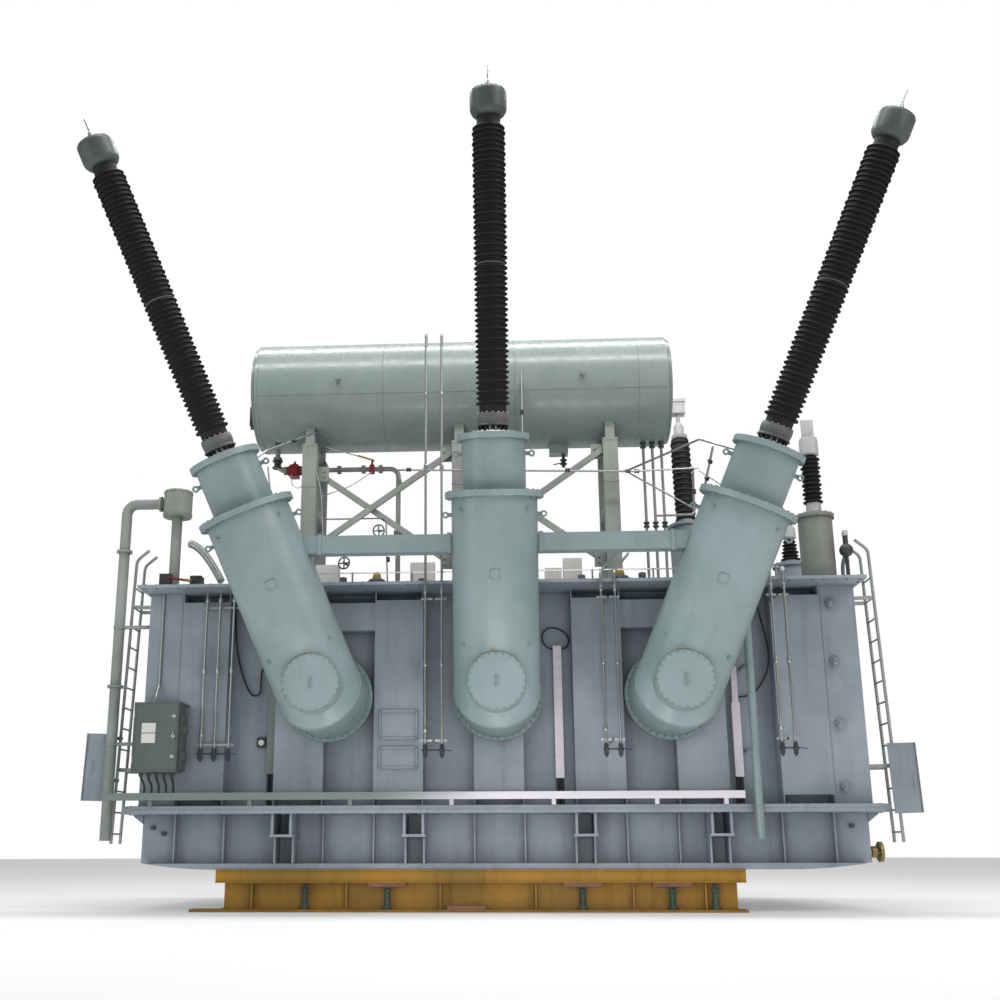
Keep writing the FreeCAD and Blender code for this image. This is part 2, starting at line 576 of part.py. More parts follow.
def ladder_guard(foot, inside):
    """Hinged plate that locks the ladder, drawn swung open on its two knuckles round the front stile."""
    face = -LADDER_HALF - STILE_RADIUS - GUARD_GAP
    outside = inside + GUARD_WIDTH
    bend = inside + GUARD_BAND
    front = face - GUARD_PLATE
    outline = [(bend, face), (outside, face), (outside, face - GUARD_LIP), (outside - GUARD_PLATE, face - GUARD_LIP),
               (outside - GUARD_PLATE, front), (bend, front), (inside, front - BAND_FOLD), (inside, face - BAND_FOLD)]
    corners = [V(x, y, foot) for x, y in outline]
    plate = Part.Face(Part.makePolygon(corners + corners[:1])).extrude(V(0, 0, GUARD_HEIGHT))
    middles = [z + RUNG_PITCH / 2 for z in RUNG_Z]
    held = [z for z in middles if foot + KNUCKLE_HEIGHT < z < foot + GUARD_HEIGHT - KNUCKLE_HEIGHT]
    inner = STILE_RADIUS + KNUCKLE_GAP
    knuckles = []
    for z in (held[0], held[-1]):
        base = V(0, -LADDER_HALF, z - KNUCKLE_HEIGHT / 2)
        ring = Part.makeCylinder(inner + KNUCKLE_WALL, KNUCKLE_HEIGHT, base)
        strap = box(0, bend + STRAP_LAP, face, face + GUARD_PLATE, z - KNUCKLE_HEIGHT / 2, z + KNUCKLE_HEIGHT / 2)
        knuckles.append(ring.fuse(strap).cut(Part.makeCylinder(inner, KNUCKLE_HEIGHT, base)))
    return fuse(plate, *knuckles)


RUNG_Z = []
while FIRST_RUNG + len(RUNG_Z) * RUNG_PITCH < LADDER_RUN - RUNG_PITCH:
    RUNG_Z.append(FIRST_RUNG + len(RUNG_Z) * RUNG_PITCH)
stile_pair = [bent_pipe([V(0, y, 0), V(0, y, LADDER_RUN), V(-190, y, LADDER_RUN + 170)], STILE_RADIUS, 160.0)
              for y in (-LADDER_HALF, LADDER_HALF)]
rung_set = [rod(V(0, -LADDER_HALF, z), V(0, LADDER_HALF, z), RUNG_RADIUS).cut(stile_pair[0]).cut(stile_pair[1])
            for z in RUNG_Z]
stay_set = [box(-700, 0, y - 6, y + 6, z - 30, z + 30).cut(stile_pair[0]).cut(stile_pair[1])
            for z in STAY_HEIGHTS for y in (-LADDER_HALF, LADDER_HALF)]
tank_block = box(-HALF_LENGTH, HALF_LENGTH, FACE_Y, -FACE_Y, UPPER_BASE, COVER_BASE)
stiles, rungs, stays = [], [], []
for side_name, side in (("left", -1), ("right", 1)):
    stiles += [on_ladder(s, side) for s in stile_pair]
    rungs += [on_ladder(s, side) for s in rung_set]
    stays += [on_ladder(s, side).cut(tank_block) for s in stay_set]
    node("ladder_guard_" + side_name, on_ladder(
        ladder_guard(GUARD_FEET[side_name], GUARD_INSIDE[side_name]), side))
node("ladder_stiles", *stiles)
node("ladder_rungs", *rungs)
node("ladder_stays", *stays)

# ---------------------------------------------------------------- control cabinet
CABINET_X, CABINET_Z = 375.0 - HALF_LENGTH, 2020.0
CABINET_WIDTH, CABINET_HEIGHT, CABINET_DEPTH = 680.0, 1035.0, 340.0
CABINET_SHEET = 12.0
DOOR_GAP = 6.0
DOOR_SHEET = 20.0
cab_x0, cab_x1 = CABINET_X - CABINET_WIDTH / 2, CABINET_X + CABINET_WIDTH / 2
cab_back = FACE_Y - 220.0
cab_front = cab_back - CABINET_DEPTH
cab_z1 = CABINET_Z + CABINET_HEIGHT
inside = box(cab_x0 + CABINET_SHEET, cab_x1 - CABINET_SHEET, cab_front, cab_back - CABINET_SHEET,
             CABINET_Z + CABINET_SHEET, cab_z1 - CABINET_SHEET)
cabinet = box(cab_x0, cab_x1, cab_front, cab_back, CABINET_Z, cab_z1).cut(inside)
for z in (CABINET_Z + 150, cab_z1 - 150):
    cabinet = fuse(cabinet, box(cab_x0 + 60, cab_x1 - 60, cab_back, FACE_Y, z - 25, z + 25))
node("control_cabinet", cabinet)
door_back = cab_front - DOOR_GAP
node("cabinet_door", box(cab_x0, cab_x1, door_back - DOOR_SHEET, door_back, CABINET_Z, cab_z1))

# ---------------------------------------------------------------- cable tray and trunkings
TRAY_X0, TRAY_X1 = -HALF_LENGTH - 390.0, 3560.0
TRAY_Z, TRAY_HEIGHT, TRAY_DEPTH = 1614.0, 105.0, 110.0
tray_y = -JOINT_HALF_Y - 15.0
tray = box(TRAY_X0, TRAY_X1, tray_y - TRAY_DEPTH, tray_y, TRAY_Z, TRAY_Z + TRAY_HEIGHT)
legs = []
for x in (-5200.0, -3700.0, -2200.0, -700.0, 800.0, 2300.0, 3300.0):
    legs.append(box(x - 30, x + 30, tray_y - 40, tray_y + 60, UPPER_BASE, TRAY_Z))
    legs.append(box(x - 30, x + 30, tray_y, tray_y + 60, UPPER_BASE, TRAY_Z + TRAY_HEIGHT))
joint_block = box(-JOINT_HALF_X, JOINT_HALF_X, -JOINT_HALF_Y, JOINT_HALF_Y, JOINT_BASE, UPPER_BASE)
node("cable_tray", fuse(tray, *legs).cut(joint_block))
TRUNKING_WIDTH, TRUNKING_DEPTH = 130.0, 80.0
NECK_WIDTH = 90.0
TRUNKING_FRONT = WALL_Y - TRUNKING_DEPTH
TRUNKING_X = (-PHASE_PITCH - 940.0, 930.0, PHASE_PITCH + 1040.0)
TRUNKING_FOOT = (2030.0, 1950.0, 1955.0)
TRUNKING_SHOULDER = (3150.0, 3990.0, 3080.0)
TRUNKING_TOP = (3570.0, 3990.0, 3630.0)
trunkings = []
for x, foot, shoulder, top in zip(TRUNKING_X, TRUNKING_FOOT, TRUNKING_SHOULDER, TRUNKING_TOP):
    trunking = box(x - TRUNKING_WIDTH / 2, x + TRUNKING_WIDTH / 2, TRUNKING_FRONT, WALL_Y, foot, shoulder)
    if top > shoulder:
        trunking = fuse(trunking, box(x - NECK_WIDTH / 2, x + NECK_WIDTH / 2, TRUNKING_FRONT, WALL_Y, shoulder, top))
    trunkings.append(trunking)
node("cable_trunkings", *trunkings)

# ---------------------------------------------------------------- loose cables at the trunkings
CABLE_DIAMETER = 25.0


def cable(name, middle_x, route):
    """Cable as straight runs joined by tangent arcs, each as large as its two runs allow."""
    points = [V(middle_x + x, y, z) for x, y, z in route]
    edges = []
    radii = []
    last = points[0]
    for before, corner, after in zip(points, points[1:], points[2:]):
        into, out = before.sub(corner), after.sub(corner)
        shorter = min(into.Length, out.Length)
        half_turn = (math.pi - into.getAngle(out)) / 2
        inset = 0.45 * shorter
        bend = inset / math.tan(half_turn)
        into.normalize()
        out.normalize()
        first = corner.add(into * inset)
        second = corner.add(out * inset)
        towards = into.add(out).normalize()
        middle = corner.add(towards * (bend / math.cos(half_turn) - bend))
        edges.append(Part.LineSegment(last, first).toShape())
        edges.append(Part.Arc(first, middle, second).toShape())
        radii.append(bend)
        last = second
    edges.append(Part.LineSegment(last, points[-1]).toShape())
    path = Part.Wire(edges)
    section = Part.Wire([Part.makeCircle(CABLE_DIAMETER / 2, points[0], points[1].sub(points[0]))])
    sweep = Part.BRepOffsetAPI.MakePipeShell(path)
    sweep.add(section)
    sweep.build()
    sweep.makeSolid()
    solid = sweep.shape()
    area = math.pi * CABLE_DIAMETER ** 2 / 4
    print(name, "length", round(path.Length), "least radius", round(min(radii)),
          "volume ratio", round(solid.Volume / (area * path.Length), 4))
    node(name, solid)


# routes give X from the middle of the trunking, then Y and Z
# from under the cover, down in a bight and up over into the top of the left trunking
cable("cable_left", TRUNKING_X[0], [
    (-645, -1715, COVER_BASE), (-645, -1715, 4560), (-636, -1712, 4270), (-601, -1708, 3962),
    (-525, -1706, 3652), (-424, -1703, 3376), (-339, -1700, 3251), (-260, -1697, 3241),
    (-201, -1695, 3294), (-204, -1693, 3425), (-201, -1691, 3552), (-201, -1690, 3644),
    (-149, -1690, 3696), (-76, -1690, 3696), (-25, -1690, 3644), (-25, -1690, TRUNKING_TOP[0])])
# from under the cover, out along the stiffener and back to the side of the right trunking
cable("cable_right", TRUNKING_X[2], [
    (420, -1740, COVER_BASE), (420, -1740, 4600), (465, -1765, 4350), (510, -1805, 4080),
    (532, -1845, 3810), (500, -1860, 3560), (400, -1820, 3350), (245, -1690, 3165),
    (NECK_WIDTH / 2, -1690, 3165)])
# one open turn out of the side of the centre trunking and back into the other
COIL_Z = TRUNKING_TOP[1] - 45
cable("cable_centre", TRUNKING_X[1], [
    (TRUNKING_WIDTH / 2, -1690, COIL_Z), (111, -1690, COIL_Z), (153, -1693, 3968),
    (182, -1698, 4010), (190, -1704, 4070), (174, -1710, 4135), (132, -1716, 4190),
    (72, -1722, 4233), (0, -1727, 4262), (-82, -1731, 4274), (-156, -1732, 4252), (-208, -1731, 4200),
    (-230, -1727, 4130), (-219, -1719, 4064), (-192, -1708, 4008), (-151, -1697, 3968), (-111, -1690, COIL_Z),
    (-TRUNKING_WIDTH / 2, -1690, COIL_Z)])


# ---------------------------------------------------------------- low-voltage and neutral bushings
def turret_and_bushing(label, x, y, lean, turret_top, turret_r, sheds, cap):
    """Upright turret on the cover with a bushing on it; heights are above the cover.

    sheds and cap are (radius at the foot, foot, radius at the top, top).
    """
    turret = fuse(
        Part.makeCylinder(turret_r + 35, 30), Part.makeCylinder(turret_r, turret_top),
        Part.makeCylinder(turret_r + 35, 60, V(0, 0, turret_top - 60)))
    foot_r, foot, top_r, top = sheds
    cap_foot_r, cap_foot, cap_top_r, cap_top = cap
    bushing = revolve([(0, turret_top), (foot_r * 0.85, turret_top), (foot_r * 0.85, foot), (foot_r, foot),
                       (top_r, top), (cap_foot_r, top), (cap_foot_r, cap_foot), (cap_top_r, cap_top), (0, cap_top)])
    for shape in (turret, bushing):
        shape.rotate(V(0, 0, 0), X_AXIS, -lean)
        shape.translate(V(x, y, COVER_TOP))
    if lean:
        root = Part.makeCylinder(turret_r, 400, V(x, y, COVER_TOP))
        turret = fuse(turret, root).cut(tank_block).cut(NODES["tank_cover"])
    node(label + "_turret", turret)
    return bushing


def terminal(x, y, z, width, height):
    """Flat terminal pad standing on a bushing's cap."""
    return box(x - width / 2, x + width / 2, y - 15, y + 15, z, z + height)


NEUTRAL_X, NEUTRAL_Y = HALF_LENGTH - 450.0, -1800.0
neutral = turret_and_bushing("neutral", NEUTRAL_X, NEUTRAL_Y, 0.0, 1120.0, 262.0,
                             (155.0, 1330.0, 155.0, 2110.0), (147.0, 2110.0, 147.0, 2430.0))
node("neutral_bushing", fuse(neutral, terminal(NEUTRAL_X, NEUTRAL_Y, COVER_TOP + 2430, 190, 300)))
TERTIARY_X, TERTIARY_Y = HALF_LENGTH - 405.0, 100.0
tertiary = turret_and_bushing("tertiary", TERTIARY_X, TERTIARY_Y, 0.0, 780.0, 280.0,
                              (165.0, 860.0, 120.0, 1240.0), (120.0, 1250.0, 105.0, 1460.0))
node("tertiary_bushing", fuse(tertiary, terminal(TERTIARY_X, TERTIARY_Y, COVER_TOP + 1460, 150, 160)))
LOW_X, LOW_Y, LOW_LEAN = 3500.0, 900.0, 8.0
low_voltage = turret_and_bushing("low_voltage", LOW_X, LOW_Y, LOW_LEAN, 1780.0, 320.0,
                                 (190.0, 1930.0, 185.0, 3600.0), (150.0, 3680.0, 85.0, 3720.0))
boot = revolve([(0, 3720), (95, 3720), (95, 3880), (60, 3950), (38, 3950), (38, 4150), (0, 4150)])
block = box(-135, 135, -90, 90, 4150, 4390)
lid = box(-150, 150, -105, 105, 4390, 4460)
connector = fuse(boot, block, lid)
connector.rotate(V(0, 0, 0), X_AXIS, -LOW_LEAN)
connector.translate(V(LOW_X, LOW_Y, COVER_TOP))
node("low_voltage_bushing", fuse(low_voltage, connector))

# ---------------------------------------------------------------- gauge, drain valve and small pipes
GAUGE_X, GAUGE_Y, GAUGE_Z = HALF_LENGTH - 60.0, -2000.0, COVER_TOP + 500.0
gauge = fuse(
    rod(V(GAUGE_X, GAUGE_Y, COVER_TOP), V(GAUGE_X, GAUGE_Y, GAUGE_Z), 30),
    Part.makeSphere(105, V(GAUGE_X, GAUGE_Y, GAUGE_Z)),
    rod(V(GAUGE_X, GAUGE_Y, GAUGE_Z), V(GAUGE_X, GAUGE_Y, GAUGE_Z + 310), 40))
node("oil_gauge", gauge)

DRAIN_Y, DRAIN_Z = WALL_Y + 200.0, 850.0
drain = fuse(
    rod(V(LOWER_HALF_X, DRAIN_Y, DRAIN_Z), V(LOWER_HALF_X + 190, DRAIN_Y, DRAIN_Z), 55),
    rod(V(LOWER_HALF_X + 60, DRAIN_Y, DRAIN_Z), V(LOWER_HALF_X + 130, DRAIN_Y, DRAIN_Z), 85),
    rod(V(LOWER_HALF_X + 165, DRAIN_Y, DRAIN_Z), V(LOWER_HALF_X + 215, DRAIN_Y, DRAIN_Z), 150))
node("drain_valve", drain)

SMALL_PIPE = 19.0
FRONT_PIPE_Y = FACE_Y - 90.0
RIM_PIPE_Y = -COVER_HALF_Y - 60.0
SMALL_FOOT = 2360.0
small_pipes = []
for x in (-4560.0, -4350.0, -4130.0):
    small_pipes.append(rod(V(x, FRONT_PIPE_Y, SMALL_FOOT), V(x, FRONT_PIPE_Y, COVER_BASE), SMALL_PIPE))
for x in (-1080.0, -830.0):
    small_pipes.append(bent_pipe([V(x, RIM_PIPE_Y, SMALL_FOOT), V(x, RIM_PIPE_Y, 8980), V(x, RIM_PIPE_Y + 170, 8980),
                                  V(x, RIM_PIPE_Y + 170, 8820)], SMALL_PIPE, 60.0))
for x in (1580.0, 1790.0):
    small_pipes.append(bent_pipe([V(x, RIM_PIPE_Y, SMALL_FOOT), V(x, RIM_PIPE_Y, COVER_TOP + 90),
                                  V(x + 320, RIM_PIPE_Y + 900, COVER_TOP + 590)], SMALL_PIPE, 70.0))
for x in (4120.0, 4310.0):
    small_pipes.append(rod(V(x, RIM_PIPE_Y, SMALL_FOOT), V(x, RIM_PIPE_Y, COVER_TOP + 90), SMALL_PIPE))
node("sampling_pipes", *small_pipes)


# ---------------------------------------------------------------- vent and breather pipes above the cover
VENT_RADIUS = 17.0
HEADER_Y = -1350.0
HEADER_Z = 7060.0
HEADER_LEFT, HEADER_RIGHT = -1640.0, 2160.0
vent_height = NECK_TOP - 2 * FLANGE_PLATE - 60
vent_side = (NECK_RADIUS - 20) * math.sqrt(0.5)
left_end = place(Part.Vertex(vent_side, vent_side, vent_height), -1).Point
right_end = place(Part.Vertex(-vent_side, vent_side, vent_height), 1).Point
header = bent_pipe([
    V(HEADER_LEFT, CONSERVATOR_Y - OIL_PIPE_RADIUS - 20, HEADER_Z), V(HEADER_LEFT, HEADER_Y, HEADER_Z),
    V(HEADER_RIGHT, HEADER_Y, HEADER_Z - 100), V(3110, -3000, 6910), right_end], VENT_RADIUS, 80.0)
left_vent = bent_pipe([left_end, V(-3490, -3050, 6850), V(-3065, -1350, 7747), V(-3065, -950, 7900)],
                      VENT_RADIUS, 150.0)
node("vent_pipes", header.cut(turret_necks[-1]), left_vent.cut(turret_necks[0]).cut(barrel))

BREATHER_RADIUS = 24.0
BREATHER_X = (2560.0, 2715.0, 2870.0)
breathers = []
for x in BREATHER_X:
    if x < RIGHT_END - 2 * BREATHER_RADIUS:
        breathers.append(rod(V(x, CONSERVATOR_Y - 60, COVER_TOP),
                             V(x, CONSERVATOR_Y - 60, conservator_bottom + 60), BREATHER_RADIUS).cut(barrel))
node("breather_pipes", *breathers)

# ---------------------------------------------------------------- export
os.makedirs("parts", exist_ok=True)
for name, shape in NODES.items():
    if not shape.isValid():
        print("not valid:", name)
    shape.exportStep("parts/" + name + ".step")
print(len(NODES), "nodes")
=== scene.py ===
"""Power transformer on its works stand: the finish of its surfaces and its small fittings.

Metres, +Z up, high-voltage side towards -Y.  The sections follow the order of assembly.
"""

import json
import math

import bmesh
import bpy
import numpy as np
from mathutils import Matrix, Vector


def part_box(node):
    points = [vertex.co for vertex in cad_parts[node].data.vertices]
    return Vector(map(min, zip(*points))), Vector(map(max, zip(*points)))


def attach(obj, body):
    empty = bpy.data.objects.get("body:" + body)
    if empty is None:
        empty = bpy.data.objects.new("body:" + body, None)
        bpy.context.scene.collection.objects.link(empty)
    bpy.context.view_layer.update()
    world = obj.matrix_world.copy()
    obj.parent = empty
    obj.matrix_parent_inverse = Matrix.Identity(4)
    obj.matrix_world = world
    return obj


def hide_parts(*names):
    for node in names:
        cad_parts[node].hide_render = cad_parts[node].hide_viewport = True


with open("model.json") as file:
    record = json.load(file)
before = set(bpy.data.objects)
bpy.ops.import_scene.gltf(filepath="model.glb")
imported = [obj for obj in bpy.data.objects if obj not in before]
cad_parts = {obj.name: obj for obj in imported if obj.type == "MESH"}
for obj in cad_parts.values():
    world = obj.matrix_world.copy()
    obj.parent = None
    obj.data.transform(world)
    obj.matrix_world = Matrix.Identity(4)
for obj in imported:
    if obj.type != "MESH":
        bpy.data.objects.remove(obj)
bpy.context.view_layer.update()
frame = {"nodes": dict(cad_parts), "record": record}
scene = bpy.context.scene


# ---------------------------------------------------------------- studio
# A pale matt floor under an even white sky, with a broad lamp high on the right, a weaker one on the
# left, a low one that fills the wall behind the drums, and two long strips overhead as in a hall.
def linear(code):
    """sRGB hex code to a linear colour: c / 12.92 below 0.04045, else ((c + 0.055) / 1.055) ^ 2.4."""
    srgb = np.array([int(code[i:i + 2], 16) for i in (1, 3, 5)]) / 255
    channels = np.where(srgb <= 0.04045, srgb / 12.92, ((srgb + 0.055) / 1.055) ** 2.4)
    return (*channels, 1.0)


def add_node(tree, kind, settings=None, sockets=None, output=None):
    """Add a shader node: settings by property, sockets as a value or a link; gives the output in use."""
    made = tree.nodes.new("ShaderNode" + kind)
    for name, value in (settings or {}).items():
        setattr(made, name, value)
    for key, value in (sockets or {}).items():
        if isinstance(value, bpy.types.NodeSocket):
            tree.links.new(value, made.inputs[key])
        else:
            made.inputs[key].default_value = value
    if output:
        return made.outputs[output]
    return next((socket for socket in made.outputs if socket.enabled), made)


def new_material(name):
    """Empty material and its node tree."""
    material = bpy.data.materials.new(name)
    material.use_nodes = True
    material.node_tree.nodes.clear()
    return material, material.node_tree


scene.view_settings.view_transform = "Standard"
SKY_SEEN, SKY_LIGHT = 1.0, 0.4
world = bpy.data.worlds.new("white_hall")
world.use_nodes = True
tree = world.node_tree
seen = add_node(tree, "LightPath", output="Is Camera Ray")
sky = add_node(tree, "MapRange", {}, {"Value": seen, "To Min": SKY_LIGHT, "To Max": SKY_SEEN})
tree.nodes["Background"].inputs["Color"].default_value = (1.0, 1.0, 1.0, 1.0)
tree.links.new(sky, tree.nodes["Background"].inputs["Strength"])
scene.world = world

EYE = (0.176, -19.85, 0.937)
PITCH, YAW, ROLL = math.radians(14.47), math.radians(-3.146), math.radians(0.116)
ahead = np.array([math.sin(YAW) * math.cos(PITCH), math.cos(YAW) * math.cos(PITCH), math.sin(PITCH)])
level = np.array([math.cos(YAW), -math.sin(YAW), 0.0])
upward = np.cross(level, ahead)
across = level * math.cos(ROLL) - upward * math.sin(ROLL)
above = level * math.sin(ROLL) + upward * math.cos(ROLL)
lens = bpy.data.cameras.new("view")
lens.sensor_width = 36.0
lens.lens = 41.88
lens.shift_x = 0.0548
lens.shift_y = 0.0466
lens.clip_end = 300.0
camera = bpy.data.objects.new("view", lens)
camera.matrix_world = Matrix.Translation(EYE) @ Matrix((across, above, -ahead)).transposed().to_4x4()
scene.collection.objects.link(camera)
scene.camera = camera


def lamp(name, place, target, size, power, tint="#ffffff"):
    """Rectangular lamp of a given size that faces its target."""
    light = bpy.data.lights.new(name, "AREA")
    light.color = linear(tint)[:3]
    light.shape = "RECTANGLE"
    light.size, light.size_y = size
    light.energy = power
    holder = bpy.data.objects.new(name, light)
    back = np.array(place, float) - target
    back /= np.linalg.norm(back)
    side = np.cross((0.0, 1.0, 0.0), back)
    side /= np.linalg.norm(side)
    holder.matrix_world = Matrix.Translation(place) @ Matrix((side, np.cross(back, side),
                                                              back)).transposed().to_4x4()
    holder.visible_camera = False
    scene.collection.objects.link(holder)


lamp("broad_lamp", (15.0, -15.0, 15.0), (0.0, 0.0, 4.0), (9.0, 9.0), 950.0, "#fff6f4")
lamp("left_lamp", (-17.0, -13.0, 7.0), (0.0, 0.0, 4.0), (9.0, 9.0), 420.0, "#eefff8")
lamp("low_front_lamp", (0.4, -9.5, 1.2), (0.4, -1.6, 3.1), (6.0, 1.2), 150.0, "#fffbff")
lamp("near_strip", (0.0, -6.5, 17.0), (0.0, -0.5, 8.6), (16.0, 1.0), 1100.0)
lamp("far_strip", (0.0, 1.0, 18.0), (0.0, -0.5, 8.6), (16.0, 1.0), 1000.0)


def ring_faces(rows, columns):
    """Quads between neighbouring rings of a rows x columns grid whose last column meets its first."""
    row, column = np.meshgrid(np.arange(rows - 1), np.arange(columns), indexing="ij")
    here, beside = row * columns + column, row * columns + (column + 1) % columns
    return np.stack([here, beside, beside + columns, here + columns], -1).reshape(-1, 4)


def turned(profile, sides=48):
    """Turned shape: point (i, j) is (r_i cos a_j, r_i sin a_j, h_i) for each (radius, height) pair."""
    radius, height = np.array(profile, float).T
    angle = np.linspace(0.0, 2 * np.pi, sides, endpoint=False)
    points = np.stack([np.outer(radius, np.cos(angle)), np.outer(radius, np.sin(angle)),
                       np.repeat(height[:, None], sides, 1)], -1)
    return points.reshape(-1, 3), ring_faces(len(radius), sides)


def disc(radius, low, high, sides):
    """Round bar or plate with closed ends, from z = low to z = high."""
    return turned([(0, low), (radius, low), (radius, high), (0, high)], sides)


SMOOTH_ANGLE = math.radians(35.0)


def new_object(name, shape, material):
    """Mesh object from (points, faces): doubles merged, faces outward, soft edges under 35 degrees."""
    points, faces = shape
    mesh = bpy.data.meshes.new(name)
    mesh.from_pydata(np.asarray(points).tolist(), [], faces.tolist())
    shell = bmesh.new()
    shell.from_mesh(mesh)
    bmesh.ops.remove_doubles(shell, verts=shell.verts, dist=1e-5)
    bmesh.ops.recalc_face_normals(shell, faces=shell.faces)
    shell.to_mesh(mesh)
    shell.free()
    mesh.polygons.foreach_set("use_smooth", np.ones(len(mesh.polygons), bool))
    mesh.set_sharp_from_angle(angle=SMOOTH_ANGLE)
    mesh.materials.append(material)
    made = bpy.data.objects.new(name, mesh)
    scene.collection.objects.link(made)
    return made


# smooth pale screed: a faint cloudiness over metres
screed, tree = new_material("floor_screed")
clouds = add_node(tree, "TexNoise", {}, {"Vector": add_node(tree, "TexCoord", output="Object"), "Scale": 0.3})
tone = add_node(tree, "Mix", {"data_type": "RGBA"}, {0: clouds, 6: linear("#f6f6f7"), 7: linear("#fcfcfc")})
FLOOR_GLOW = 0.2
shader = add_node(tree, "BsdfPrincipled", {}, {"Base Color": tone, "Roughness": 0.8, "Emission Color": tone,
                                               "Emission Strength": FLOOR_GLOW})
add_node(tree, "OutputMaterial", {}, {"Surface": shader})
floor = new_object("floor", disc(90, -0.2, 0, 96), screed)


# ---------------------------------------------------------------- stand
# Two welded girders, each a deep rolled beam on a stiffened web plate, tied by cross beams and
# brush-painted ochre long ago: scraped along the edges and stained with brown runs.
def worn_paint(name, fresh, shade, gloss, runs=0.35, dust=0.3, scraped=0.0, under="#5d4632", shade_in_corners="#3a3c38"):
    """Brushed or sprayed machinery paint on steel plate.

    Colour is fresh mixed with shade in patches of about a metre, darker in narrow upright runs, paler where
    dust lies on top, and down to the under colour where edges are scraped; corners and recesses get
    painted shade, darkened towards a dark corner colour.
    """
    material, tree = new_material(name)
    place = add_node(tree, "TexCoord", output="Object")
    patches = add_node(tree, "TexNoise", {}, {"Vector": place, "Scale": 0.9, "Detail": 4.0, "Roughness": 0.6})
    patchy = add_node(tree, "MapRange", {}, {"Value": patches, "From Min": 0.35, "From Max": 0.65})
    tone = add_node(tree, "Mix", {"data_type": "RGBA"}, {0: patchy, 6: linear(shade), 7: linear(fresh)})
    upright = add_node(tree, "Mapping", {}, {"Vector": place, "Scale": (6.0, 6.0, 0.4)})
    wet = add_node(tree, "TexNoise", {}, {"Vector": upright, "Scale": 1.0, "Detail": 5.0, "Roughness": 0.65})
    stained = add_node(tree, "MapRange", {},
                       {"Value": wet, "From Min": 0.52, "From Max": 0.8, "To Max": runs})
    tone = add_node(tree, "Mix", {"data_type": "RGBA", "blend_type": "MULTIPLY"},
                    {0: stained, 6: tone, 7: linear("#8d8777")})
    # painted shade: corners, creases and recesses found by ambient occlusion are darkened, up to 55 %,
    # towards a dark corner colour
    hidden = add_node(tree, "AmbientOcclusion", {"samples": 4}, {"Distance": 0.35}, "AO")
    corner = add_node(tree, "MapRange", {},
                      {"Value": hidden, "From Min": 0.25, "From Max": 0.9, "To Min": 0.55, "To Max": 0.0})
    tone = add_node(tree, "Mix", {"data_type": "RGBA"}, {0: corner, 6: tone, 7: linear(shade_in_corners)})
    facing = add_node(tree, "NewGeometry", output="Normal")
    lying = add_node(tree, "SeparateXYZ", {}, {"Vector": facing}, "Z")
    speck = add_node(tree, "TexNoise", {}, {"Vector": place, "Scale": 14.0, "Detail": 4.0})
    settled = add_node(tree, "MapRange", {},
                       {"Value": lying, "From Min": 0.3, "From Max": 1.0, "To Max": dust})
    dusty = add_node(tree, "Math", {"operation": "MULTIPLY"}, {0: settled, 1: speck})
    tone = add_node(tree, "Mix", {"data_type": "RGBA"}, {0: dusty, 6: tone, 7: linear("#c9c6bd")})
    rounded = add_node(tree, "Bevel", {"samples": 4}, {"Radius": 0.012})
    flush = add_node(tree, "VectorMath", {"operation": "DOT_PRODUCT"}, {0: rounded, 1: facing}, "Value")
    edge = add_node(tree, "MapRange", {}, {"Value": flush, "From Min": 0.97, "From Max": 0.8, "To Max": 1.0})
    chipped = add_node(tree, "MapRange", {},
                       {"Value": speck, "From Min": 0.4, "From Max": 0.6, "To Max": scraped})
    bare = add_node(tree, "Math", {"operation": "MULTIPLY"}, {0: edge, 1: chipped})
    tone = add_node(tree, "Mix", {"data_type": "RGBA"}, {0: bare, 6: tone, 7: linear(under)})
    rough = add_node(tree, "MapRange", {}, {"Value": wet, "From Min": 0.3, "From Max": 0.7, "To Min": gloss,
                                            "To Max": gloss + 0.16})
    peel = add_node(tree, "TexNoise", {}, {"Vector": place, "Scale": 45.0, "Detail": 3.0})
    sheet = add_node(tree, "TexNoise", {}, {"Vector": place, "Scale": 1.7, "Detail": 2.0})
    surface = add_node(tree, "Bump", {},
                       {"Height": sheet, "Distance": 0.02, "Strength": 0.35, "Normal": rounded})
    surface = add_node(tree, "Bump", {},
                       {"Height": peel, "Distance": 0.001, "Strength": 0.4, "Normal": surface})
    shader = add_node(tree, "BsdfPrincipled", {}, {"Base Color": tone, "Roughness": rough, "Normal": surface})
    add_node(tree, "OutputMaterial", {}, {"Surface": shader})
    return material


def finish_nodes(material, *names):
    """Give CAD nodes their real finish."""
    for name in names:
        slots = frame["nodes"][name].data.materials
        slots.clear()
        slots.append(material)


def piece(name, shape, material, body="transformer"):
    """Object that rides on a body, finished in the given material."""
    made = new_object(name, shape, material)
    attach(made, body)
    return made


def joined(*shapes):
    """One shape from several: their points in turn, their faces moved on past the points before."""
    starts = np.cumsum([0] + [len(points) for points, _ in shapes[:-1]])
    faces = [faces + start for (_, faces), start in zip(shapes, starts)]
    return np.concatenate([points for points, _ in shapes]), np.concatenate(faces)


def turns(axes):
    """Rotations that take +Z onto each axis; their columns are level side, other side and axis."""
    axis = np.array(axes, float).reshape(-1, 3)
    axis /= np.linalg.norm(axis, axis=1, keepdims=True)
    helper = np.where(np.abs(axis[:, 2:]) < 0.95, [[0.0, 0.0, 1.0]], [[1.0, 0.0, 0.0]])
    side = np.cross(helper, axis)
    side /= np.linalg.norm(side, axis=1, keepdims=True)
    return np.stack([side, np.cross(axis, side), axis], -1)


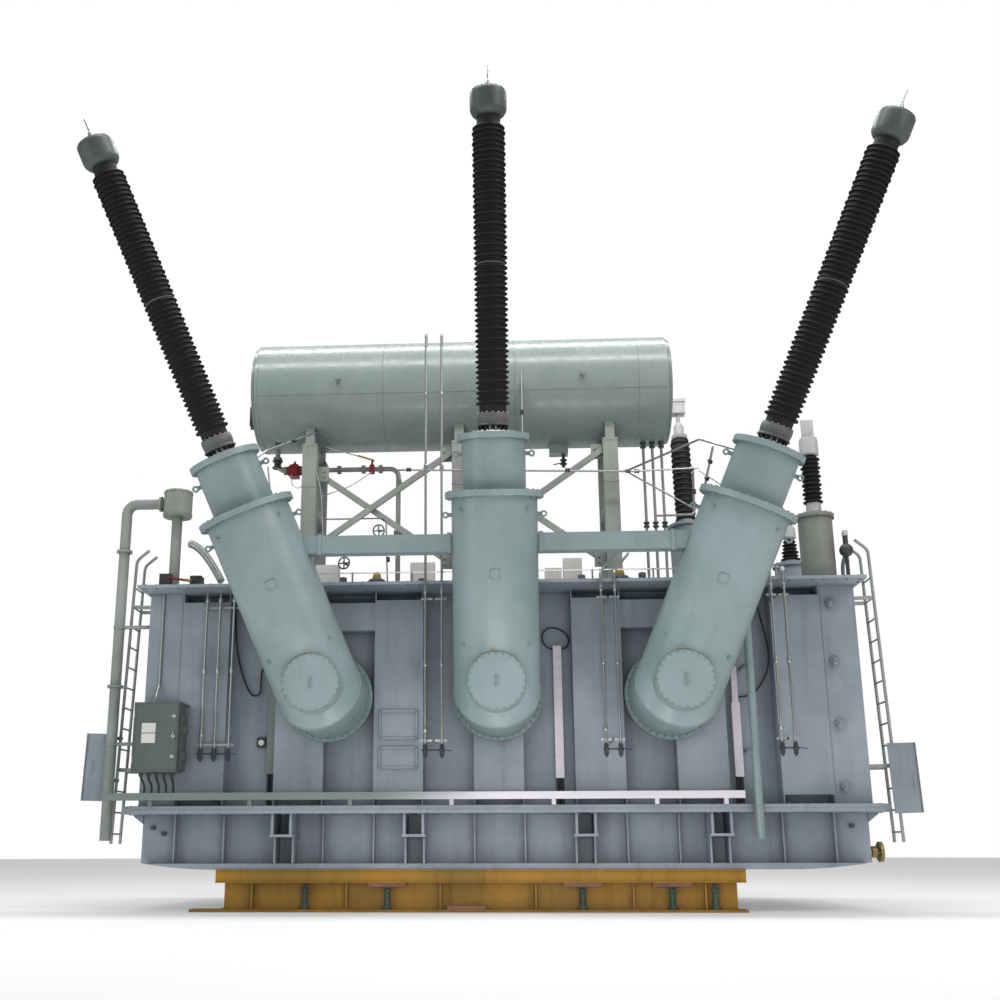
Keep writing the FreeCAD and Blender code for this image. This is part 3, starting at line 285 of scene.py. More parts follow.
def copies(shape, centres, axes=(0, 0, 1)):
    """The shape at each centre with its +Z turned onto each axis: p -> R p + c."""
    points, faces = shape
    centres = np.array(centres, float).reshape(-1, 3)
    turned_points = np.einsum("nij,kj->nki", np.broadcast_to(turns(axes), (len(centres), 3, 3)), points)
    starts = np.arange(len(centres))[:, None, None] * len(points)
    return (turned_points + centres[:, None]).reshape(-1, 3), (faces + starts).reshape(-1, 4)


def block(low, high):
    """Box between two corners."""
    corner = np.array([[x, y, z] for x in (0, 1) for y in (0, 1) for z in (0, 1)], float)
    faces = np.array([[0, 1, 3, 2], [4, 6, 7, 5], [0, 4, 5, 1], [2, 3, 7, 6], [0, 2, 6, 4], [1, 5, 7, 3]])
    return low + corner * (np.array(high, float) - low), faces


def bolt(width):
    """Hexagonal head on its washer, standing on z = 0; width is across its corners."""
    radius = width / 2
    return turned([(0, 0), (radius * 1.25, 0), (radius * 1.25, radius * 0.15), (radius, radius * 0.16),
                   (radius, radius * 0.75), (radius * 0.84, radius * 0.9), (0, radius * 0.9)], 6)


def row(start, end, pitch):
    """Evenly spaced points from start to end, about a pitch apart."""
    start, end = np.array(start, float), np.array(end, float)
    count = max(2, round(float(np.linalg.norm(end - start)) / pitch) + 1)
    return start + np.linspace(0.0, 1.0, count)[:, None] * (end - start)


OCHRE = worn_paint("stand_ochre_paint", "#b07f0e", "#8a670c", 0.5, runs=0.55, dust=0.12, scraped=0.6,
                   shade_in_corners="#3b2c0a")
finish_nodes(OCHRE, "stand_girders", "stand_cross_beams")
girder_low, girder_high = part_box("stand_girders")
GIRDER_FLANGE = 0.30
PLATE = 0.04
BOLT_ROWS, BOLT_EDGE = 5, 0.06
FOOT_BOLTS_LEFT, FOOT_BOLTS_RIGHT = 0.5, 0.15
stand_bolts = []
for y in (girder_low.y, girder_high.y - GIRDER_FLANGE):
    for x in np.linspace(girder_low.x + FOOT_BOLTS_LEFT, girder_high.x - FOOT_BOLTS_RIGHT, BOLT_ROWS):
        for dy in (BOLT_EDGE, GIRDER_FLANGE - BOLT_EDGE):
            stand_bolts.append((x, y + dy, PLATE))
piece("stand_foot_bolts", copies(bolt(0.046), stand_bolts), OCHRE)
BEAM_DEPTH, BEAM_REACH = 0.19, 0.385
LIP_REACH, LIP_THICK, LIP_END = 0.018, 0.022, 0.01
beam_lips = []
for face_y in (girder_low.y, girder_high.y + LIP_REACH):
    for z in (girder_high.z - BEAM_DEPTH, girder_high.z - LIP_THICK):
        beam_lips.append(block((girder_low.x + BEAM_REACH, face_y - LIP_REACH, z),
                               (girder_high.x - LIP_END, face_y, z + LIP_THICK)))
piece("stand_beam_flanges", joined(*beam_lips), OCHRE)


# ---------------------------------------------------------------- screw jacks and timber
# Five screw jacks between the girder's flanges: turned steel columns in dark green enamel with a
# ribbed nut, a tommy bar and a swivelling cap, packed out with sawn softwood planks.
def bar(start, end, width, depth):
    """Flat bar from start to end, width across it on the level and depth the other way."""
    start, end = np.array(start, float), np.array(end, float)
    length = np.linalg.norm(end - start)
    return copies(block((-width / 2, -depth / 2, 0.0), (width / 2, depth / 2, length)), [start],
                  [end - start])


JACK_GREEN = worn_paint("jack_green_enamel", "#2f5544", "#1f3a30", 0.4, runs=0.5, dust=0.25, scraped=0.6,
                        under="#6f6a60")
finish_nodes(JACK_GREEN, "support_jacks")
JACK_X = (-2.922, -1.686, 1.208, 2.521, 3.146)
jack_low, jack_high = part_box("support_jacks")
jack_y = (jack_low.y + jack_high.y) / 2
nut = disc(0.055, 0.0, 0.045, 6)
NUT_Z, TOMMY_Z, TOMMY_BAR = PLATE + 0.245, PLATE + 0.31, 0.014
jack_parts = [copies(nut, [(x, jack_y, NUT_Z) for x in JACK_X])]
for x in JACK_X:
    jack_parts.append(bar((x - 0.055, jack_y - 0.045, TOMMY_Z), (x + 0.075, jack_y - 0.04, TOMMY_Z + 0.005),
                          TOMMY_BAR, TOMMY_BAR))
    jack_parts.append(block((x - 0.058, jack_y - 0.058, PLATE + 0.03),
                            (x + 0.058, jack_y + 0.05, PLATE + 0.05)))
piece("jack_nuts_and_bars", joined(*jack_parts), JACK_GREEN)

# sawn softwood: long grain lines about 6 mm apart, drawn at 18 mm to show, greyed by the yard
SAWN, tree = new_material("sawn_softwood")
place = add_node(tree, "TexCoord", output="Object")
along = add_node(tree, "Mapping", {}, {"Vector": place, "Scale": (0.8, 9.0, 9.0)})
rings = add_node(tree, "TexWave", {"wave_type": "BANDS", "bands_direction": "Z"},
                 {"Vector": along, "Scale": 2.0, "Distortion": 7.0, "Detail": 4.0, "Detail Scale": 1.5})
stain = add_node(tree, "TexNoise", {}, {"Vector": place, "Scale": 3.0, "Detail": 5.0})
tone = add_node(tree, "Mix", {"data_type": "RGBA"}, {0: rings, 6: linear("#8a6450"), 7: linear("#a98a78")})
tone = add_node(tree, "Mix", {"data_type": "RGBA", "blend_type": "MULTIPLY"},
                {0: stain, 6: tone, 7: linear("#b3a69a")})
surface = add_node(tree, "Bump", {}, {"Height": rings, "Distance": 0.003, "Strength": 0.6})
shader = add_node(tree, "BsdfPrincipled", {}, {"Base Color": tone, "Roughness": 0.85, "Normal": surface})
add_node(tree, "OutputMaterial", {}, {"Surface": shader})
finish_nodes(SAWN, "timber_packing")

# ---------------------------------------------------------------- lower tank
# Welded from mild-steel plate with sledge runners, upright ribs and jacking brackets, then sprayed
# satin blue-grey; the weld beads stand out as thin ridges along every rib.
TANK_GREY = worn_paint("tank_satin_grey", "#96a0aa", "#828c95", 0.42, runs=0.3, dust=0.4, scraped=0.15,
                       under="#a9b0b5", shade_in_corners="#3f464a")
finish_nodes(TANK_GREY, "bottom_skids", "lower_tank", "lower_ribs", "jacking_brackets", "lower_joint_flange",
             "upper_joint_flange", "upper_tank", "turret_nozzles", "front_stiffeners", "rear_stiffeners",
             "tank_corners", "end_stiffeners", "tank_cover")


def pipe(path, radius, sides=12):
    """Round bar with closed ends: ring i is p_i + r_i (u_i cos a + v_i sin a), square to the path."""
    path = np.array(path, float)
    along = np.gradient(path, axis=0)
    along /= np.linalg.norm(along, axis=1, keepdims=True)
    u = np.cross(np.eye(3)[np.abs(along).max(0).argmin()], along)
    u /= np.linalg.norm(u, axis=1, keepdims=True)
    v = np.cross(along, u)
    ends = [0, *range(len(path)), len(path) - 1]
    radii = np.broadcast_to(radius, len(path))[ends].copy()
    radii[[0, -1]] = 0.0
    angle = np.linspace(0.0, 2 * np.pi, sides, endpoint=False)[:, None]
    spokes = np.cos(angle) * u[ends][:, None] + np.sin(angle) * v[ends][:, None]
    rings = path[ends][:, None] + radii[:, None, None] * spokes
    return rings.reshape(-1, 3), ring_faces(len(ends), sides)


def rods(starts, ends, radius, sides=8):
    """Straight round bars between pairs of points."""
    return joined(*[pipe([start, end], radius, sides) for start, end in zip(starts, ends)])


WELD = 0.007
lower_low, lower_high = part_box("lower_tank")
STIFFENER_PITCH, STIFFENER_WIDTH, STIFFENERS = 1.53, 0.76, 7
stiffener_x = (np.arange(STIFFENERS) - (STIFFENERS - 1) / 2) * STIFFENER_PITCH
edges_x = np.sort(np.concatenate([stiffener_x - STIFFENER_WIDTH / 2, stiffener_x + STIFFENER_WIDTH / 2]))
bracket_x = np.array([-3.24, -1.27, 1.27, 3.24])
BRACKET_CLEAR = 0.3
ribs_x = np.array([x for x in edges_x if np.abs(bracket_x - x).min() > BRACKET_CLEAR])
RIB_HALF, RIB_END = 0.0125, 0.01
starts, ends = [], []
for y in (lower_low.y, lower_high.y):
    for x in ribs_x:
        for dx in (-RIB_HALF, RIB_HALF):
            starts.append((x + dx, y, lower_low.z + RIB_END))
            ends.append((x + dx, y, lower_high.z - RIB_END))
piece("rib_welds", rods(starts, ends, WELD, 6), TANK_GREY)
runner_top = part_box("bottom_skids")[1].z
RUNNER_HALF, RUNNER_SINK = 4.2, 0.004
runner_y = (lower_low.y + RUNNER_SINK, lower_high.y - RUNNER_SINK)
starts = [(-RUNNER_HALF, y, runner_top) for y in runner_y]
ends = [(RUNNER_HALF, y, runner_top) for y in runner_y]
piece("runner_welds", rods(starts, ends, WELD, 6), TANK_GREY)

# two small threaded plugs near the left end of the lower tank
STUB_X, STUB_Z = -5.34, 1.23
stub = turned([(0, 0), (0.036, 0), (0.036, 0.012), (0.022, 0.014), (0.022, 0.05), (0.03, 0.052), (0.03, 0.07),
               (0, 0.07)], 16)
stub_places = [(STUB_X, lower_low.y, STUB_Z), (STUB_X + 0.17, lower_low.y, STUB_Z - 0.09),
               (5.25, lower_low.y, STUB_Z)]
PLUG_STEEL = worn_paint("plug_dark_steel", "#4a5052", "#34393b", 0.4, runs=0.2, dust=0.3, scraped=0.3,
                        under="#8b8d8c")
piece("lower_tank_stubs", copies(stub, stub_places, (0, -1, 0)), PLUG_STEEL)

# upright wedges carry the overhang of the joint at both ends
WEDGE_DROP, WEDGE_HALF = 0.13, 0.012
wedges = []
for side in (-1, 1):
    for y in (lower_low.y + WEDGE_HALF, 0.0, lower_high.y - WEDGE_HALF):
        tip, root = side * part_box("lower_joint_flange")[1].x - side * 0.03, side * (lower_high.x - 0.01)
        low, high = lower_high.z - WEDGE_DROP, lower_high.z
        outline = np.array([(root, low), (root + (tip - root) * 0.12, low), (tip, high - 0.02), (tip, high),
                            (root, high)])
        loops = [np.column_stack([outline[:, 0], np.full(5, y + dy), outline[:, 1]])
                 for dy in (-WEDGE_HALF, WEDGE_HALF)]
        ends = [np.repeat(loop.mean(0)[None], 5, 0) for loop in loops]
        wedges.append((np.concatenate([ends[0], loops[0], loops[1], ends[1]]), ring_faces(4, 5)))
piece("joint_end_wedges", joined(*wedges), TANK_GREY)

# ---------------------------------------------------------------- tank joint
# The two halves meet at a pair of heavy flanges with cut corners, clamped by a row of bolts whose
# heads stand on the upper flange and whose nuts hang under the lower one.
def bare_metal(name, dark, light, gloss, matt, metallic, scale, detail=3.0, stretch=None):
    """Unpainted metal: noise at a scale per metre mixes two tones and sets how rough the surface is."""
    material, tree = new_material(name)
    place = add_node(tree, "TexCoord", output="Object")
    if stretch:
        place = add_node(tree, "Mapping", {}, {"Vector": place, "Scale": stretch})
    pattern = add_node(tree, "TexNoise", {}, {"Vector": place, "Scale": scale, "Detail": detail})
    tone = add_node(tree, "Mix", {"data_type": "RGBA"}, {0: pattern, 6: linear(dark), 7: linear(light)})
    rough = add_node(tree, "MapRange", {}, {"Value": pattern, "To Min": gloss, "To Max": matt})
    shader = add_node(tree, "BsdfPrincipled", {},
                      {"Base Color": tone, "Roughness": rough, "Metallic": metallic})
    add_node(tree, "OutputMaterial", {}, {"Surface": shader})
    return material


# bright zinc plate: a cloudy silver, patchy over about 30 mm
ZINC = bare_metal("zinc_plated_steel", "#9a9c9a", "#c9cac8", 0.25, 0.5, 0.85, 30.0)

joint_low, joint_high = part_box("lower_joint_flange")
joint_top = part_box("upper_joint_flange")[1].z
JOINT_BOLT_INSET, CUT_CORNER, BOLT_PITCH = 0.11, 0.17, 0.17
JOINT_BOLT, COVER_BOLT = 0.036, 0.038


def rim(low, high, inset, cut, pitch):
    """Points round a rectangle, inset from its edges and clear of its cut corners."""
    x0, x1, y0, y1 = low.x + inset, high.x - inset, low.y + inset, high.y - inset
    sides = [row((x0 + cut, y, 0), (x1 - cut, y, 0), pitch) for y in (y0, y1)]
    sides += [row((x, y0 + cut, 0), (x, y1 - cut, 0), pitch) for x in (x0, x1)]
    return np.concatenate(sides)


joint_ring = rim(joint_low, joint_high, JOINT_BOLT_INSET, CUT_CORNER, BOLT_PITCH)
heads = copies(bolt(JOINT_BOLT), joint_ring + (0, 0, joint_top))
nuts = copies(bolt(JOINT_BOLT), joint_ring + (0, 0, joint_low.z), (0, 0, -1))
piece("joint_bolts", joined(heads, nuts), TANK_GREY)
piece("joint_gasket", joined(*[block((joint_low.x + 0.2, y - 0.004, joint_high.z - 0.006),
                                     (joint_high.x - 0.2, y + 0.002, joint_high.z + 0.006))
                               for y in (joint_low.y + 0.002, joint_high.y - 0.002)]), TANK_GREY)

# ---------------------------------------------------------------- upper tank
# Flat plate walls stiffened by folded box sections welded on upright, their faces cut short at both
# ends; box beams, framed access covers and stub-and-knob lugs are welded between them.
wall_low, wall_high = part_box("upper_tank")
FACE_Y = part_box("front_stiffeners")[0].y
WALL_Y = wall_low.y
END_STIFFENER_X = 4.9
starts, ends = [], []
for x in edges_x[np.abs(edges_x) < END_STIFFENER_X]:
    inner = 1 if np.abs(stiffener_x - x + STIFFENER_WIDTH / 2).min() < 0.01 else -1
    for y in (WALL_Y, -WALL_Y):
        starts.append((x - inner * WELD / 2, y, wall_low.z))
        ends.append((x - inner * WELD / 2, y, wall_high.z))
piece("stiffener_welds", rods(starts, ends, WELD * 1.4, 6), TANK_GREY)

# box beams that bridge the two gaps between the drums near the top of the wall
BEAM_LOW, BEAM_HIGH = 4.22, 4.66
BRIDGED_GAP_X = 2.295
gaps = [(a, b) for a, b in zip(edges_x[1:-1:2], edges_x[2:-1:2])
        if abs(abs((a + b) / 2) - BRIDGED_GAP_X) < 0.1]
bridges = [block((a, FACE_Y + 0.002, BEAM_LOW), (b, WALL_Y, BEAM_HIGH)) for a, b in gaps]
piece("wall_box_beams", joined(*bridges), TANK_GREY)

# two framed access covers, one above the other on the stiffener left of the middle drum
FRAME_X, FRAME_HALF, FRAME_PLATE = -1.53, 0.30, 0.012
FRAME_HEIGHTS = ((2.52, 2.98), (2.08, 2.42))
FRAME_BAR, FRAME_INSET, FRAME_STAND = 0.03, 0.02, 0.018
frames = []
for z0, z1 in FRAME_HEIGHTS:
    frames.append(block((FRAME_X - FRAME_HALF, FACE_Y - FRAME_PLATE, z0), (FRAME_X + FRAME_HALF, FACE_Y, z1)))
    levels = (z0 + FRAME_INSET, z1 - FRAME_INSET)
    for a, b in (((-1, 0), (-1, 1)), ((1, 0), (1, 1)), ((-1, 0), (1, 0)), ((-1, 1), (1, 1))):
        start, end = ((FRAME_X + side * (FRAME_HALF - FRAME_INSET), FACE_Y - FRAME_STAND, levels[top])
                      for side, top in (a, b))
        frames.append(bar(start, end, FRAME_BAR, FRAME_BAR))
piece("framed_covers", joined(*frames), TANK_GREY)

# earthing lugs up the right end panel, each a stub with a block and a knob on it, and a seam where
# the corner posts are lapped
LUG_X, LUG_HEIGHTS = 5.11, (4.56, 3.67, 2.73, 1.80)
lug_shape = joined(turned([(0, 0), (0.06, 0), (0.06, 0.05), (0.045, 0.055), (0, 0.055)], 20),
                   block((-0.035, -0.08, 0.05), (0.035, 0.045, 0.09)), disc(0.022, 0.09, 0.12, 14))
piece("panel_lugs", copies(lug_shape, [(LUG_X, FACE_Y, z) for z in LUG_HEIGHTS], (0, -1, 0)), TANK_GREY)
CORNER_SEAM_X = edges_x[-1] + 0.005
SEAM_END = 0.02
starts, ends = ([(s * CORNER_SEAM_X, FACE_Y, z) for s in (-1, 1)]
                for z in (wall_low.z + SEAM_END, wall_high.z - SEAM_END))
piece("corner_seams", rods(starts, ends, WELD, 6), TANK_GREY)

# ---------------------------------------------------------------- cover
# A thick plate bolted down round its overhanging rim; the bolts pass through from above and their
# nuts show from below.
cover_low, cover_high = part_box("tank_cover")
COVER_BOLT_INSET, COVER_CORNER = 0.06, 0.05
cover_ring = rim(cover_low, cover_high, COVER_BOLT_INSET, COVER_CORNER, BOLT_PITCH)
heads = copies(bolt(COVER_BOLT), cover_ring + (0, 0, cover_high.z))
nuts = copies(bolt(COVER_BOLT), cover_ring + (0, 0, cover_low.z), (0, 0, -1))
piece("cover_bolts", joined(heads, nuts), TANK_GREY)

# ---------------------------------------------------------------- high-voltage turrets
# Rolled and welded steel drums and tubes in gloss pale grey-green enamel, mitred together at the
# elbow.  Each tube carries a bolted neck, lifting eyes, drain bosses and a blank number plate.
TURRET_GREEN = worn_paint("turret_gloss_enamel", "#8b9b9e", "#7b8f8e", 0.27, runs=0.12, dust=0.25,
                          scraped=0.1, under="#bcc4c4", shade_in_corners="#4b6a62")
finish_nodes(TURRET_GREEN, "turret_left", "turret_centre", "turret_right", "turret_covers", "turret_necks",
             "tie_beams")

TERMINAL_STATION = 8.993
MID_BOTTOM, MID_TOP, TOP_BOTTOM = 2.753, 2.843, 3.588
TUBE_RADIUS, NECK_RADIUS = 0.625, 0.463
MID_BOLT_RING, TOP_BOLT_RING, DRUM_BOLT_RING = 0.674, 0.497, 0.652
FRONT = np.array([0.0, -1.0, 0.0])
ring_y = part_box("turret_nozzles")[0].y
axes_of = {}
for mount in frame["record"]["mounts"]:
    if mount["name"].startswith("hv_terminal"):
        axis = np.array(mount["axis"])
        axes_of[mount["name"][12:]] = (np.array(mount["pos_m"]) - axis * TERMINAL_STATION, axis)


def circle(centre, axis, radius, count, start=0.0):
    """Points evenly round a circle square to an axis."""
    angle = start + np.arange(count) * 2 * np.pi / count
    ring = np.stack([radius * np.cos(angle), radius * np.sin(angle), np.zeros(count)], -1)
    return ring @ turns(axis)[0].T + centre


def local(foot, axis, azimuth, radius, station):
    """Point round a leaning axis: azimuth 0 faces the front, positive towards +X; with its outward way."""
    forward = FRONT - axis * FRONT.dot(axis)
    forward /= np.linalg.norm(forward)
    rightward = np.cross(axis, forward) * -1.0
    angle = np.radians(azimuth)
    outward = np.cos(angle) * forward - np.sin(angle) * rightward
    return foot + axis * station + outward * radius, outward


def sleeve(inner, outer, half, sides):
    """Ring with a square section, from z = -half to z = half."""
    return turned([(inner, -half), (outer, -half), (outer, half), (inner, half), (inner, -half)], sides)


eye_plate = joined(sleeve(0.022, 0.05, 0.012, 20),
                   block((-0.1, -0.03, -0.012), (-0.035, 0.03, 0.012)))
boss = turned([(0, 0), (0.03, 0), (0.03, 0.02), (0.018, 0.024), (0.018, 0.045), (0, 0.045)], 16)
PLATE_STATION, PLATE_HALF, PLATE_LIFT, SCREW_AT = 1.66, 0.065, 0.014, 0.052
for name, (foot, axis) in axes_of.items():
    drum_foot = np.array([foot[0], ring_y - 0.045, foot[2]])
    bolts = [copies(bolt(0.038), circle(foot + axis * MID_TOP, axis, MID_BOLT_RING, 32), axis),
             copies(bolt(0.038), circle(foot + axis * MID_BOTTOM, axis, MID_BOLT_RING, 32), -axis),
             copies(bolt(0.032), circle(foot + axis * TOP_BOTTOM, axis, TOP_BOLT_RING, 28), -axis),
             copies(bolt(0.036), circle(drum_foot, FRONT, DRUM_BOLT_RING, 36), FRONT)]
    piece("flange_bolts_" + name, joined(*bolts), TURRET_GREEN)
    # bead along the elbow, where points R (cos t, ., sin t) of the drum lie in the mitre plane n . p = 0
    normal = axis + FRONT
    t = np.linspace(0.0, 2 * np.pi, 97)
    depth = -(normal[0] * np.cos(t) + normal[2] * np.sin(t)) / normal[1]
    mitre = TUBE_RADIUS * np.stack([np.cos(t), depth, np.sin(t)], -1)
    fittings = [pipe(mitre + foot, 0.009, 6)]
    for azimuth, station in ((-48, 2.56), (48, 2.56), (-48, 0.66), (48, 0.66)):
        point, outward = local(foot, axis, azimuth, TUBE_RADIUS - 0.004, station)
        fittings.append(copies(boss, [point], outward))
    for azimuth, radius, station in ((-90, TUBE_RADIUS, 2.52), (90, TUBE_RADIUS, 2.52),
                                     (-90, NECK_RADIUS, 3.40), (90, NECK_RADIUS, 3.40)):
        point, outward = local(foot, axis, azimuth, radius + 0.09, station)
        turn = np.stack([outward, axis, np.cross(outward, axis)], -1)
        points, faces = eye_plate
        fittings.append((points @ turn.T + point, faces))
    # blank number plate bent round the tube: depth sqrt(reach^2 - u^2) over a square grid (u, v)
    plate_centre, outward = local(foot, axis, 0, TUBE_RADIUS, PLATE_STATION)
    side = np.cross(axis, outward)
    spread = np.linspace(-PLATE_HALF, PLATE_HALF, 9)
    grid_u, grid_v = np.meshgrid(spread, spread, indexing="ij")
    shells = []
    for lift in (0.0, PLATE_LIFT):
        reach = TUBE_RADIUS + lift
        depth = np.sqrt(reach ** 2 - grid_u ** 2) - TUBE_RADIUS
        flat = plate_centre + grid_u[..., None] * side + grid_v[..., None] * axis
        shells.append(flat + depth[..., None] * outward)
    index = np.arange(81).reshape(9, 9)
    quads = np.stack([index[:-1, :-1], index[1:, :-1], index[1:, 1:], index[:-1, 1:]], -1).reshape(-1, 4)
    edge_loop = np.concatenate([index[:, 0], index[8, 1:], index[7::-1, 8], index[0, 7:0:-1]])
    skirt = np.stack([edge_loop, np.roll(edge_loop, -1), np.roll(edge_loop, -1) + 81, edge_loop + 81], -1)
    fittings.append((np.concatenate([s.reshape(-1, 3) for s in shells]),
                     np.concatenate([quads, quads + 81, skirt])))
    screws = [plate_centre + side * du + axis * dv + outward * (PLATE_LIFT - 0.004)
              for du in (-SCREW_AT, SCREW_AT) for dv in (-SCREW_AT, SCREW_AT)]
    fittings.append(copies(bolt(0.018), screws, outward))
    piece("turret_fittings_" + name, joined(*fittings), TURRET_GREEN)

# ---------------------------------------------------------------- drum covers
# Each drum ends in a round blank lid on a short boss, held by a ring of bolts, with an upright bar
# handle in the middle and a yellow bleed plug at the top.
BLEED_YELLOW = worn_paint("bleed_plug_yellow", "#c8a020", "#a8851a", 0.4, runs=0.1)
lid_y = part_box("turret_covers")[0].y
LID_BOLT_RING = 0.383
lid_parts, plugs = [], []
for foot, _ in axes_of.values():
    centre = np.array([foot[0], lid_y, foot[2]])
    lid_parts.append(copies(bolt(0.024), circle(centre, FRONT, LID_BOLT_RING, 24), FRONT))
    lid_parts.append(bar(centre + (0.0, -0.02, 0.08), centre + (0.0, -0.02, -0.08), 0.018, 0.014))
    lid_parts += [block(centre + (-0.009, -0.02, z), centre + (0.009, 0.0, z + 0.02)) for z in (-0.08, 0.06)]
    plugs.append(centre + (-0.05, 0.03, 0.43))
piece("lid_bolts_and_levers", joined(*lid_parts), TURRET_GREEN)
piece("bleed_plugs", copies(disc(0.016, 0, 0.022, 12), plugs, (0, -0.3, 1)),
      BLEED_YELLOW)

# ---------------------------------------------------------------- high-voltage bushings
# Composite bushings: silicone-rubber sheds moulded on a glass-fibre tube, an aluminium mounting
# ring on insulated stand-offs, and a spun aluminium head with a plated terminal rod.
# moulded silicone rubber: matt near-black, with pale dust on the faces that point up
RUBBER, tree = new_material("silicone_rubber")
place = add_node(tree, "TexCoord", output="Object")
facing = add_node(tree, "NewGeometry", output="Normal")
lying = add_node(tree, "SeparateXYZ", {}, {"Vector": facing}, "Z")
speck = add_node(tree, "TexNoise", {}, {"Vector": place, "Scale": 9.0, "Detail": 5.0})
settled = add_node(tree, "MapRange", {}, {"Value": lying, "From Min": 0.1, "From Max": 0.9, "To Max": 0.3})
dusty = add_node(tree, "Math", {"operation": "MULTIPLY"}, {0: settled, 1: speck})
tone = add_node(tree, "Mix", {"data_type": "RGBA"}, {0: dusty, 6: linear("#090a0c"), 7: linear("#3e3e3d")})
rough = add_node(tree, "MapRange", {}, {"Value": speck, "To Min": 0.6, "To Max": 0.8})
shader = add_node(tree, "BsdfPrincipled", {}, {"Base Color": tone, "Roughness": rough})
add_node(tree, "OutputMaterial", {}, {"Surface": shader})

SPUN = worn_paint("bushing_head_enamel", "#4b5451", "#404846", 0.36, runs=0.15, dust=0.2, scraped=0.1,
                  under="#9a9f9e")
CAST = worn_paint("cast_fitting_grey", "#6d706f", "#55585a", 0.38, runs=0.2, dust=0.3, scraped=0.3,
                  under="#b5b7b6")

SHED_BASE, SHED_TOP, SHEDS = 4.128, 8.228, 54
CORE, LARGE, SMALL = 0.206, 0.249, 0.238
HEAD_BASE, HEAD_TOP, COLLAR_TOP, ROD_TOP = 8.328, 8.768, 8.888, 9.098
NECK_TOP, RING_TOP, FITTING_BASE = 3.678, 3.706, 3.80


def shed_profile(base, top, count, core, large, small):
    """Sheds up a column, wide and narrow in turn: drooping lip, rounded rim and sloping upper face."""
    pitch = (top - base) / count
    offset = np.array([0.0, 0.12, 0.04, 0.07, 0.13, 0.36, 0.46]) * pitch
    reach = np.where(np.arange(count) % 2 == 0, large, small)[:, None]
    share = np.array([0.0, 0.0, 0.97, 1.0, 0.97, 0.12, 0.0])
    radius = core + (reach - core) * share
    height = base + np.arange(count)[:, None] * pitch + offset
    return list(zip(radius.ravel(), height.ravel()))


for name, (foot, axis) in axes_of.items():
    def on_axis(shape):
        return copies(shape, [foot], axis)

    column = [(0, 4.0), (0.195, 4.0), (0.197, 4.06), (0.195, SHED_BASE - 0.01), (0.25, SHED_BASE - 0.005),
              (0.25, SHED_BASE)]
    column += shed_profile(SHED_BASE, SHED_TOP, SHEDS, CORE, LARGE, SMALL)
    column += [(0.175, SHED_TOP), (0.175, HEAD_BASE + 0.02), (0, HEAD_BASE + 0.02)]
    sheds = piece("sheds_" + name, on_axis(turned(column, 56)), RUBBER)
    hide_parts("bushing_" + name)
    joint = [(0, 6.15), (0.205, 6.15), (0.212, 6.158), (0.212, 6.172), (0.205, 6.18), (0, 6.18)]
    piece("shed_joint_" + name, on_axis(turned(joint, 48)), CAST)
    head_profile = [(0, HEAD_BASE), (0.18, HEAD_BASE), (0.205, HEAD_BASE + 0.004), (0.235, HEAD_BASE + 0.03),
                    (0.262, HEAD_BASE + 0.075), (0.27, HEAD_BASE + 0.11), (0.27, HEAD_TOP - 0.1),
                    (0.268, HEAD_TOP - 0.075), (0.25, HEAD_TOP - 0.045), (0.205, HEAD_TOP - 0.018),
                    (0.12, HEAD_TOP - 0.003), (0.035, HEAD_TOP), (0, HEAD_TOP)]
    piece("head_" + name, on_axis(turned(head_profile, 64)), SPUN)
    rod_profile = [(0, HEAD_TOP - 0.01), (0.04, HEAD_TOP - 0.01), (0.04, HEAD_TOP + 0.02),
                   (0.044, HEAD_TOP + 0.025), (0.044, COLLAR_TOP - 0.03), (0.03, COLLAR_TOP - 0.005),
                   (0.016, COLLAR_TOP), (0.016, ROD_TOP - 0.006), (0.012, ROD_TOP), (0, ROD_TOP)]
    piece("terminal_rod_" + name, on_axis(turned(rod_profile, 24)), ZINC)
    fitting = [(0, FITTING_BASE), (0.238, FITTING_BASE), (0.24, 3.806), (0.24, 3.822), (0.226, 3.826),
               (0.222, 3.85), (0.226, 3.86), (0.233, 3.90), (0.234, 3.955), (0.226, 3.983), (0.2, 3.99),
               (0, 3.99)]
    piece("clamp_fitting_" + name, on_axis(turned(fitting, 56)), CAST)
    ring = [(0.0, NECK_TOP), (0.34, NECK_TOP), (0.34, 3.7), (0.334, RING_TOP), (0.17, RING_TOP),
            (0.165, FITTING_BASE), (0.0, FITTING_BASE)]
    piece("mounting_ring_" + name, on_axis(turned(ring, 56)), ZINC)
    ring_bolts = copies(bolt(0.04), circle(foot + axis * RING_TOP, axis, 0.305, 24), axis)
    piece("mounting_ring_bolts_" + name, ring_bolts, ZINC)
    posts = copies(disc(0.03, 0, 0.094, 12), circle(foot + axis * RING_TOP, axis, 0.186, 12), axis)
    piece("stand_off_blocks_" + name, posts, RUBBER)
    clamp_bolts = copies(bolt(0.03), circle(foot + axis * 3.985, axis, 0.215, 16), axis)
    piece("clamp_bolts_" + name, clamp_bolts, ZINC)

# ---------------------------------------------------------------- tie beams
# Hollow steel beams between the turrets, with a bolted end plate at every saddle.
tie_low, tie_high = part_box("tie_beams")
tie_plates = []
for x in (tie_low.x + 0.27, -0.665, 0.665, tie_high.x - 0.27):
    tie_plates.append(block((x - 0.03, tie_low.y - 0.012, tie_low.z - 0.02),
                            (x + 0.03, tie_low.y + 0.01, tie_high.z + 0.02)))
piece("tie_beam_plates", joined(*tie_plates), TURRET_GREEN)

